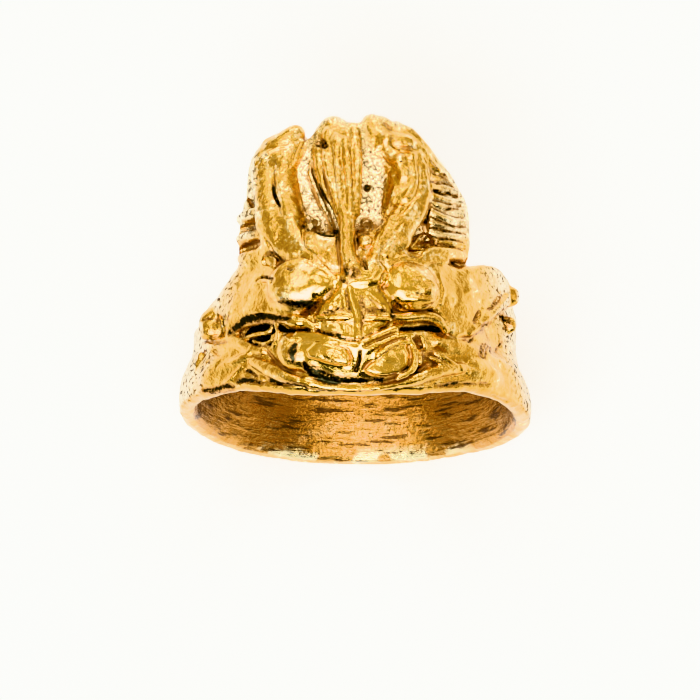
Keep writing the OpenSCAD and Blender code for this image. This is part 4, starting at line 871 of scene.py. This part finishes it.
def band_and_plate(solid):
    """The flared band, with the plate that carries the crown."""
    slices, (x, y, z) = solid.block(solid.low, solid.low + solid.step * solid.count)
    y = y + ORIGIN_Y
    z = z - AXIS_Z
    radius = np.sqrt(x * x + z * z)
    angle = np.degrees(np.arctan2(x, z))
    rim = np.interp(angle, *columns(RIM_LINE)).astype(np.float32)
    upper = np.interp(angle, *columns(UPPER_LINE)).astype(np.float32)
    degrees = np.arange(-180, 181)
    slope = np.gradient(np.interp(degrees, *columns(UPPER_LINE))) * 180 / (math.pi * 10)
    steep = np.sqrt(1 + np.interp(angle, degrees, slope) ** 2).astype(np.float32)
    rise = y - rim
    wall = np.interp(rise, *columns(BAND_WALL)).astype(np.float32)
    back = np.interp(180 - np.abs(angle), *columns(BACK_WALL)).astype(np.float32)
    wall = np.maximum(wall, back * np.interp(rise, (0, 0.5), (0.6, 1)))
    crown = fade(y, 6.5, 8.0) * fade(np.abs(angle), PLATE_ANGLE, PLATE_ANGLE - 6)
    wall = np.maximum(wall, np.clip(1.4 + 0.14 * (y - 8.5), PLATE_THIN, PLATE_THICK) * crown)
    field = (radius - HOLE_R - wall) * 0.9
    field = soft_max(field, (y - upper) / steep, 0.5)
    field = soft_max(field, -rise, 0.45)
    solid.field[slices] = field


def finger_hole_and_sole(solid):
    """Opens the finger hole with its flared mouth, and flattens the back."""
    slices, (x, y, z) = solid.block(solid.low, solid.low + solid.step * solid.count)
    radius = np.sqrt(x * x + (z - AXIS_Z) ** 2)
    angle = np.degrees(np.arctan2(x, z - AXIS_Z))
    rise = y + ORIGIN_Y - np.interp(angle, *columns(RIM_LINE)).astype(np.float32)
    inside = HOLE_R + np.interp(rise, *columns(LIP_INSIDE)).astype(np.float32)
    solid.field[slices] = soft_max(solid.field[slices], (inside - radius) * 0.9, 0.12)
    solid.clear(slices, radius - inside, 0)
    solid.field[slices] = np.maximum(solid.field[slices], -z)


def build_solid():
    """The whole ring, in the order in which its parts lie on each other."""
    margin = 3 * GRID_STEP
    low = [v / MM - margin for v in CAD_LOW]
    high = [v / MM + margin for v in CAD_HIGH]
    solid = Solid(low, high, GRID_STEP)
    band_and_plate(solid)
    for row in BASES:
        solid.mound(row)
    solid.sheet(*WING_LEFT)
    solid.sheet(*WING_RIGHT)
    solid.sheet(*MUZZLE, MUZZLE_THICK)
    solid.sheet(*FAN_RIGHT)
    for facets, thickness in ((SHIELD, SHIELD_THICK), (LIP_LEFT, LIP_THICK), (LIP_RIGHT, LIP_THICK)):
        solid.sheet(*facets, thickness, FACET_BLEND, FACET_EDGE)
    for row in MOUNDS:
        solid.mound(row)
    for rows in BROAD_STRANDS:
        solid.strand(rows, 0.45)
    for rows in STRANDS:
        solid.strand(rows)
    for rows in RIDGES:
        solid.ridge(rows)
    turns = np.linspace(0, 2 * math.pi, 9)
    for across, up, ring_r, rise, wire in RINGS:
        ring = [(across + ring_r * math.cos(t), up + ring_r * math.sin(t), rise, wire) for t in turns]
        solid.ridge(ring, 0.04)
    for rows in DEEP_GROOVES:
        solid.groove(rows)
    for rows in HOLLOWS:
        solid.groove(rows, darkness=HOLLOW_DARKNESS)
    for rows in INNER_STRANDS:
        solid.strand(rows, 0.06)
        solid.strand(rows, 0.06, solid.clear)
    for rows in GROOVES:
        solid.groove(rows)
    for across, up, depth, r in PITS:
        solid.groove([(across, up, depth, r), (across, up + 0.02, depth, r)], FINE_BLEND)
    for a0, b0, a1, b1 in SCRATCHES:
        middle = ((a0 + a1) / 2 - SCRATCH_BOW, (b0 + b1) / 2, *SCRATCH_MIDDLE)
        rows = [(a0, b0, *SCRATCH_END), middle, (a1, b1, *SCRATCH_END)]
        solid.groove(rows, FINE_BLEND, SCRATCH_DARKNESS)
    # Painted shade and painted dark reflections along the charted lines.
    for level, rows in SHADE_STROKES:
        solid.paint_shade(level, rows)
    finger_hole_and_sole(solid)
    return solid


# From grid to mesh.

def surface_of(solid):
    """Points and four-sided faces of the surface where the distance is nought."""
    field = solid.field
    inside = field < 0
    size = np.array(field.shape) - 1
    total = np.zeros(size, np.uint8)
    for i, j, k in CORNERS:
        total += inside[i : i + size[0], j : j + size[1], k : k + size[2]]
    active = (total > 0) & (total < 8)
    cells = np.argwhere(active)
    index = np.full(size, -1, np.int32)
    index[active] = np.arange(len(cells))
    summed = np.zeros((len(cells), 3))
    crossings = np.zeros(len(cells))
    for start in CORNERS:
        for axis in range(3):
            if start[axis]:
                continue
            end = list(start)
            end[axis] = 1
            v0 = field[tuple((cells + start).T)]
            v1 = field[tuple((cells + end).T)]
            cross = (v0 < 0) != (v1 < 0)
            share = v0[cross] / (v0[cross] - v1[cross])
            point = np.array(start, float) + share[:, None] * (np.array(end) - start)
            summed[cross] += point
            crossings[cross] += 1
    points = solid.low + (cells + summed / crossings[:, None]) * solid.step
    faces = []
    for axis in range(3):
        one, two = (axis + 1) % 3, (axis + 2) % 3
        low, high = [slice(None)] * 3, [slice(None)] * 3
        low[axis], high[axis] = slice(0, -1), slice(1, None)
        a, b = inside[tuple(low)], inside[tuple(high)]
        for leaves in (True, False):
            where = np.argwhere((a & ~b) if leaves else (~a & b))
            keep = (where[:, one] > 0) & (where[:, two] > 0)
            keep &= (where[:, one] < size[one]) & (where[:, two] < size[two])
            where = where[keep]
            ring = []
            for back_one, back_two in ((1, 1), (0, 1), (0, 0), (1, 0)):
                cell = where.copy()
                cell[:, one] -= back_one
                cell[:, two] -= back_two
                ring.append(index[tuple(cell.T)])
            ring = np.stack(ring, 1)
            faces.append(ring if leaves else ring[:, ::-1])
    return points, np.concatenate(faces)


def mesh_object(name, points, faces):
    """An object with these points and faces, all with the same number of corners."""
    mesh = bpy.data.meshes.new(name)
    corners = faces.shape[1]
    mesh.vertices.add(len(points))
    mesh.vertices.foreach_set("co", points.astype(np.float32).ravel())
    mesh.loops.add(faces.size)
    mesh.loops.foreach_set("vertex_index", faces.astype(np.int32).ravel())
    mesh.polygons.add(len(faces))
    mesh.polygons.foreach_set("loop_start", np.arange(0, faces.size, corners, dtype=np.int32))
    mesh.update(calc_edges=True)
    mesh.validate()
    obj = bpy.data.objects.new(name, mesh)
    bpy.context.collection.objects.link(obj)
    return obj


def lumps(points, size, seed):
    """Smooth noise from -1 to 1 at each point, with bumps about as far apart as size."""
    lattice = np.random.default_rng(seed).uniform(-1, 1, (64, 64, 64))
    place = points / size
    base = np.floor(place).astype(int)
    part = place - base
    return between(lattice, base, part * part * (3 - 2 * part))


def unevenness(points):
    """How far the wax stands out at each point: strong on the relief, none on the sole."""
    x, z = points[:, 0], points[:, 2] - AXIS_Z
    outside = fade(np.hypot(x, z) - HOLE_R, 0.25, 0.75)
    clear = fade(points[:, 2], 0, 0.6)
    bump = sum(far * lumps(points, size, seed) for seed, (far, size) in enumerate(WEAR, 1))
    return (clear * (INNER_WEAR + (1 - INNER_WEAR) * outside) * bump)[:, None]


def vertex_arrays(mesh):
    """The place and the normal of each vertex."""
    points = np.empty(len(mesh.vertices) * 3, np.float32)
    mesh.vertices.foreach_get("co", points)
    normals = np.empty_like(points)
    mesh.vertices.foreach_get("normal", normals)
    return points.reshape(-1, 3).astype(float), normals.reshape(-1, 3).astype(float)


def finish_guides(mesh, solid):
    """What the finish follows at each vertex: how enclosed it is, which sets painted shade, how much
    shade the charts paint on it, whether it faces the finger, and whether it is the low skin behind
    the crown, where highlights are painted."""
    points, normals = vertex_arrays(mesh)
    points = points / MM
    closed = 0
    for reach in REACHES:
        room = solid.value(points + normals * reach) / reach
        closed = closed + (1 - np.clip(room, -0.2, 1)) / len(REACHES)
    edges = np.empty(len(mesh.edges) * 2, np.int32)
    mesh.edges.foreach_get("vertices", edges)
    a, b = edges.reshape(-1, 2).T
    degree = np.maximum(np.bincount(np.r_[a, b], minlength=len(points)), 1)
    for _ in range(2):
        near = np.bincount(a, closed[b], len(points)) + np.bincount(b, closed[a], len(points))
        closed = 0.5 * closed + 0.5 * near / degree
    painted_shade = np.clip(solid.value(points - normals * unevenness(points), solid.painted_shade), 0, 1)
    # The wall of the finger hole faces its axis. The low skin faces away from it, high up.
    x, z = points[:, 0], points[:, 2] - AXIS_Z
    height = np.hypot(x, z) - HOLE_R
    outward = (normals[:, 0] * x + normals[:, 2] * z) / np.hypot(x, z)
    finger = fade(outward, -0.25, -0.65) * (height < 1.0)
    up = (points[:, 1] + ORIGIN_Y) * LEAN_COS + z * LEAN_SIN
    skin = fade(height, 2.3, 2.05) * fade(up, 10.6, 11.0) * fade(outward, 0.45, 0.75)
    return {"recess": closed, "painted_shade": painted_shade, "finger_side": finger, "cast_skin": skin}


def cast_ring():
    """The ring as one mesh, weathered, reduced, and with the finish's guides at its vertices."""
    solid = build_solid()
    points, faces = surface_of(solid)
    ring = mesh_object("cast_ring", points * MM, faces)
    ring.data.shade_smooth()
    at, normals = vertex_arrays(ring.data)
    at = at + normals * unevenness(at / MM) * MM
    ring.data.vertices.foreach_set("co", at.astype(np.float32).ravel())
    ring.data.update()
    decimate = ring.modifiers.new("fewer_faces", "DECIMATE")
    decimate.ratio = min(1.0, TRIANGLE_LIMIT / (2 * len(faces)))
    bpy.context.view_layer.objects.active = ring
    bpy.ops.object.modifier_apply(modifier=decimate.name)
    ring.data.shade_smooth()
    for name, values in finish_guides(ring.data, solid).items():
        layer = ring.data.attributes.new(name, "FLOAT", "POINT")
        layer.data.foreach_set("value", values.astype(np.float32))
    return ring


# Finish.

# Colours of the gold, from bare metal to the black of painted shade. Several are painted light, as
# marked.
DULL_GOLD = (0.58, 0.33, 0.075, 1)
BRIGHT_GOLD = (0.82, 0.54, 0.16, 1)
POLISHED_GOLD = (0.92, 0.62, 0.15, 1)
# Painted highlights: pale patches at random and on the recess floors.
GLEAM_GOLD = (0.98, 0.88, 0.62, 1)
# Painted sheen: the outer sides are paler, as if they reflected the white surround.
SIDE_SHEEN = (0.95, 0.88, 0.70, 1)
# Painted highlight: pale glints on the inner lip at the bottom of the mouth.
GLINT = (0.98, 0.86, 0.5, 1)
# Painted shade on the faces of the rim that turn towards the front.
FRONT_RIM_SHADE = (0.42, 0.22, 0.035, 1)
# Painted shade: brown in enclosed places and under the charted shade.
BROWN_SHADE = (0.36, 0.18, 0.06, 1)
# Painted shade inside the finger hole.
FINGER_HOLE_SHADE = (0.34, 0.16, 0.04, 1)
DOT_BROWN = (0.10, 0.05, 0.02, 1)
STREAK_BROWN = (0.06, 0.025, 0.01, 1)
# Painted shade: black where the enclosure or the charted shade is strong.
BLACK_SHADE = (0.016, 0.014, 0.008, 1)
# Specular tint: plain, and dulled where black shade is painted and on the dark dots.
PLAIN_TINT, SHADE_AND_DOT_TINT = (1, 1, 1, 1), (0.1, 0.07, 0.05, 1)
# The floor's cloudy paper, and the glow that keeps its shadows faint.
PAPER_LOW, PAPER_HIGH = (0.83, 0.84, 0.93, 1), (0.87, 0.88, 0.97, 1)
PAPER_GLOW = (0.97, 0.98, 1, 1)


class Nodes:
    """Short ways to add and join the nodes that lead to a material's or a world's shader."""

    def __init__(self, owner, shader):
        owner.use_nodes = True
        self.tree = owner.node_tree
        self.shader = self.tree.nodes[shader]

    def add(self, kind, inputs=(), **settings):
        node = self.tree.nodes.new(kind)
        for name, value in settings.items():
            setattr(node, name, value)
        for name, value in dict(inputs).items():
            self.put(node, name, value)
        return node

    def put(self, node, name, value):
        if isinstance(value, bpy.types.NodeSocket):
            self.tree.links.new(value, node.inputs[name])
        else:
            node.inputs[name].default_value = value

    def math(self, operation, a, b=0.0, clamp=False):
        node = self.add("ShaderNodeMath", {0: a, 1: b}, operation=operation, use_clamp=clamp)
        return node.outputs[0]

    def times(self, first, *others):
        for other in others:
            first = self.math("MULTIPLY", first, other)
        return first

    def plus(self, first, *others):
        for other in others:
            first = self.math("ADD", first, other)
        return first

    def less(self, a, b):
        return self.math("SUBTRACT", a, b)

    def most(self, a, b):
        return self.math("MAXIMUM", a, b)

    def size(self, value):
        return self.math("ABSOLUTE", value)

    def span(self, value, low, high, to_low=0.0, to_high=1.0):
        inputs = {"Value": value, "From Min": low, "From Max": high, "To Min": to_low, "To Max": to_high}
        return self.add("ShaderNodeMapRange", inputs).outputs[0]

    def noise(self, vector, scale, detail=4.0, roughness=0.55):
        inputs = {"Vector": vector, "Scale": scale, "Detail": detail, "Roughness": roughness}
        return self.add("ShaderNodeTexNoise", inputs).outputs[0]

    def blend(self, factor, a, b):
        node = self.add("ShaderNodeMix", data_type="RGBA")
        for index, value in ((0, factor), (6, a), (7, b)):
            self.put(node, index, value)
        return node.outputs[2]


def gold_places(n):
    """The noises that the gold's looks share, and where each look belongs, from 0 to 1. Here n
    adds nodes, and p holds the places."""
    p = SimpleNamespace(at=n.add("ShaderNodeTexCoord").outputs["Object"])
    axes = n.add("ShaderNodeSeparateXYZ", {"Vector": p.at}).outputs
    p.x, p.y, p.z = axes[0], axes[1], n.less(axes[2], AXIS_Z * MM)
    for name in ("recess", "painted_shade", "finger_side", "cast_skin"):
        setattr(p, name, n.add("ShaderNodeAttribute", attribute_name=name).outputs["Fac"])

    angle = n.math("ARCTAN2", p.x, p.z)
    streak_at = n.add("ShaderNodeCombineXYZ", {0: n.times(angle, 3.0), 1: n.times(p.y, 2400)})
    p.streaks = n.noise(streak_at.outputs[0], 1.3, 5.0, 0.65)
    p.patches = n.noise(p.at, 900, 5.0, 0.65)
    p.grain = n.noise(p.at, 3200, 4.0, 0.65)
    p.dots = n.noise(p.at, 4300, 3.0, 0.6)

    normal = n.add("ShaderNodeTexCoord").outputs["Normal"]
    p.facing = n.add("ShaderNodeSeparateXYZ", {"Vector": normal}).outputs
    # Where the outer sides face sideways: their colour gets a painted sheen, and they are rougher.
    steep = n.size(p.facing[0])
    outer = n.plus(n.size(n.less(p.x, 0.4 * MM)), n.times(p.y, 0.35))
    outside = n.less(1.0, p.finger_side)
    p.open_side = n.times(n.span(steep, 0.64, 0.9), n.span(outer, 8.0 * MM, 9.3 * MM), outside)
    edge = n.times(n.span(steep, 0.5, 0.72), n.span(outer, 7.4 * MM, 8.4 * MM), outside)
    p.floors = n.times(p.cast_skin, n.span(p.x, 4.2 * MM, 3.9 * MM))
    p.speckle = n.times(n.span(p.dots, 0.51, 0.55), n.most(edge, n.times(p.floors, 0.9)))
    face = n.times(n.span(n.size(p.x), 4.2 * MM, 3.2 * MM), n.span(p.y, 2.6 * MM, 1.8 * MM))
    p.polish = n.times(face, n.span(p.z, 6.0 * MM, 8.0 * MM))

    # Painted shade: brown where the point is enclosed or the charts paint shade, black where either is
    # strong.
    crumbs = n.noise(p.at, 7000, 3.0, 0.7)
    ragged = n.less(n.plus(n.times(p.grain, 0.5), n.times(crumbs, 0.5)), 0.5)
    uneven = n.plus(p.recess, n.times(ragged, 0.4))
    deep = n.times(p.painted_shade, n.plus(n.times(ragged, 5.5), 1.0))
    p.brown = n.most(n.span(uneven, 0.42, 0.66), n.span(deep, 0.05, 0.15))
    p.black = n.most(n.span(uneven, 0.86, 0.96), n.span(deep, 0.17, 0.27))
    return p


def gold_colour(n, p):
    """Mottled gold, then the polished face, painted highlight patches, painted sheen on the sides, dark
    dots, painted shade in the finger hole and on the front of the rim, a painted glint in the mouth,
    painted brown and black shade, and dark streaks in the finger hole.
    """
    mixed = n.plus(n.times(p.patches, 0.5), n.times(p.grain, 0.5))
    wing = n.times(n.span(n.size(p.x), 4.3 * MM, 5.5 * MM), n.span(p.y, 4.0 * MM, 3.0 * MM))
    mixed = n.less(mixed, n.times(wing, 0.05))
    colour = n.blend(n.span(mixed, 0.42, 0.58), DULL_GOLD, BRIGHT_GOLD)
    colour = n.blend(n.times(p.polish, 0.6), colour, POLISHED_GOLD)
    # Painted highlights: pale patches at random and on the recess floors, fewer on the polished face.
    pale = n.most(n.times(n.span(mixed, 0.53, 0.60), 0.7), n.times(p.cast_skin, 0.65))
    pale = n.times(pale, n.less(1.0, n.times(p.polish, 0.75)))
    colour = n.blend(pale, colour, GLEAM_GOLD)
    # Painted sheen on the outer sides.
    colour = n.blend(n.times(p.open_side, 0.6), colour, SIDE_SHEEN)
    colour = n.blend(n.times(p.speckle, 0.82), colour, DOT_BROWN)
    # Painted shade on the wall of the finger hole.
    colour = n.blend(n.times(p.finger_side, 0.88), colour, FINGER_HOLE_SHADE)
    # Painted shade: the rim's faces that turn towards the front are darker.
    rim_shade = n.times(n.span(p.facing[1], -0.45, -0.75), n.span(p.z, 0.0, 3.0 * MM))
    colour = n.blend(n.times(rim_shade, 0.85), colour, FRONT_RIM_SHADE)
    # Painted highlight: pale glints on the inner lip at the bottom of the mouth.
    mouth = n.times(n.span(p.y, -2.9 * MM, -3.7 * MM), n.span(p.z, -6.0 * MM, -8.0 * MM))
    glints = n.times(mouth, p.finger_side, n.span(n.noise(p.at, 420), 0.48, 0.54))
    colour = n.blend(glints, colour, GLINT)
    colour = n.blend(p.brown, colour, BROWN_SHADE)
    colour = n.blend(p.black, colour, BLACK_SHADE)
    dark_streak = n.times(n.span(p.streaks, 0.53, 0.60), p.finger_side, 0.9)
    return n.blend(dark_streak, colour, STREAK_BROWN)


def gold():
    """Cast yellow gold: polished ridges, painted shade in the hollows, painted highlights, and a
    streaked finger hole.
    """
    material = bpy.data.materials.new("cast_gold")
    n = Nodes(material, "Principled BSDF")
    p = gold_places(n)
    n.put(n.shader, "Base Color", gold_colour(n, p))
    # The painted black shade and the dark dots reflect duller.
    n.put(n.shader, "Specular Tint", n.blend(n.most(p.black, p.speckle), PLAIN_TINT, SHADE_AND_DOT_TINT))
    n.shader.inputs["Metallic"].default_value = 1.0

    only_brown = n.math("SUBTRACT", p.brown, p.black, clamp=True)
    rough = n.plus(n.span(p.grain, 0.3, 0.7, 0.08, 0.19), n.times(p.finger_side, 0.03),
                   n.times(only_brown, 0.2), n.times(p.open_side, 0.15))
    n.put(n.shader, "Roughness", rough)
    height = n.plus(n.times(n.noise(p.at, 1500, 5.0, 0.65), 0.7), n.times(p.grain, 0.5),
                    n.times(p.dots, p.floors, 1.5), n.times(p.streaks, p.finger_side, 1.2))
    height = n.times(height, n.less(1.0, n.times(p.polish, 0.6)))
    bump = n.add("ShaderNodeBump", {"Height": height, "Distance": 0.13 * MM, "Strength": 0.75})
    n.put(n.shader, "Normal", bump.outputs[0])
    return material


def paper():
    """A faintly clouded white sheet that glows a little."""
    material = bpy.data.materials.new("pale_floor")
    n = Nodes(material, "Principled BSDF")
    cloud = n.noise(n.add("ShaderNodeTexCoord").outputs["Object"], 60, 3.0)
    n.put(n.shader, "Base Color", n.blend(cloud, PAPER_LOW, PAPER_HIGH))
    n.shader.inputs["Roughness"].default_value = 0.8
    n.shader.inputs["Emission Color"].default_value = PAPER_GLOW
    n.shader.inputs["Emission Strength"].default_value = 0.84
    return material


# The stage: floor, lights and camera, in metres.

FLOOR_HALF = 0.6
# The point that the camera and the lights face, and where the camera is from it.
MIDDLE = Vector((-0.3 * MM, 0.63 * MM, AXIS_Z * MM))
CAMERA_DISTANCE = 1.2
CAMERA_ELEVATION = math.radians(75)
VIEW_WIDTH = 41.3 * MM
# A faint green in the main lights, against the room's warm light.
COOL_WHITE = (0.94, 1.0, 0.92)
ROOM_COLOUR = (1, 0.79, 0.43, 1)
# How bright the room is between its clouds, in them, and in its dark part.
ROOM_DIM, ROOM_BRIGHT, ROOM_DARK = 0.44, 0.92, 0.02


def floor():
    """The sheet under the ring."""
    half = FLOOR_HALF
    corners = np.array([(-half, -half, 0), (half, -half, 0), (half, half, 0), (-half, half, 0)])
    plane = mesh_object("floor", corners, np.array([[0, 1, 2, 3]]))
    plane.data.materials.append(paper())


def face_ring(name, data, direction, distance):
    """A light or camera that stands off from the ring in a direction and faces it."""
    obj = bpy.data.objects.new(name, data)
    away = Vector(direction).normalized()
    obj.location = MIDDLE + away * distance
    obj.rotation_euler = (-away).to_track_quat("-Z", "Y").to_euler()
    bpy.context.collection.objects.link(obj)
    return obj


def soft_light(name, direction, distance, size, radiance, colour=(1, 1, 1)):
    """A softbox that faces the ring: where it stands, its sides and how bright its face looks."""
    light = bpy.data.lights.new(name, "AREA")
    light.shape = "RECTANGLE"
    light.size, light.size_y = size
    light.energy = radiance * math.pi * size[0] * size[1]
    light.color = colour
    face_ring(name, light, direction, distance)


def camera():
    """The photo's view: down onto the mask from in front."""
    data = bpy.data.cameras.new("camera")
    data.sensor_fit = "HORIZONTAL"
    data.angle = 2 * math.atan(VIEW_WIDTH / 2 / CAMERA_DISTANCE)
    data.clip_start = 0.01
    direction = (0, -math.cos(CAMERA_ELEVATION), math.sin(CAMERA_ELEVATION))
    bpy.context.scene.camera = face_ring("camera", data, direction, CAMERA_DISTANCE)


def surroundings():
    """A warm, cloudy room that is darkest low down in front of the ring."""
    world = bpy.data.worlds.new("studio")
    n = Nodes(world, "Background")
    at = n.add("ShaderNodeTexCoord").outputs["Generated"]
    axes = n.add("ShaderNodeSeparateXYZ", {"Vector": at}).outputs
    dark = n.times(n.span(axes[1], -0.35, -0.6), n.span(axes[2], 0.78, 0.66))
    room = n.span(n.noise(at, 3.6, 4.0, 0.65), 0.36, 0.64, ROOM_DIM, ROOM_BRIGHT)
    n.put(n.shader, "Strength", n.span(dark, 0.0, 1.0, room, ROOM_DARK))
    n.shader.inputs["Color"].default_value = ROOM_COLOUR
    bpy.context.scene.world = world
    bpy.context.scene.view_settings.view_transform = "Khronos PBR Neutral"


camera()
surroundings()
floor()
soft_light("key", (-0.14, -0.5, 0.8), 0.34, (0.26, 0.14), 19.5, COOL_WHITE)
soft_light("fill", (0.75, -0.1, 0.6), 0.30, (0.05, 0.12), 4)
soft_light("top_light", (0.1, 0.9, 0.6), 0.30, (0.18, 0.06), 13, COOL_WHITE)
soft_light("overhead", (-0.35, 0.35, 0.87), 0.34, (0.05, 0.14), 10, COOL_WHITE)
soft_light("overhead_right", (0.3, 0.3, 0.9), 0.34, (0.04, 0.08), 7)

ring = cast_ring()
ring.data.materials.append(gold())
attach(ring, "root")
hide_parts("mask_ring")
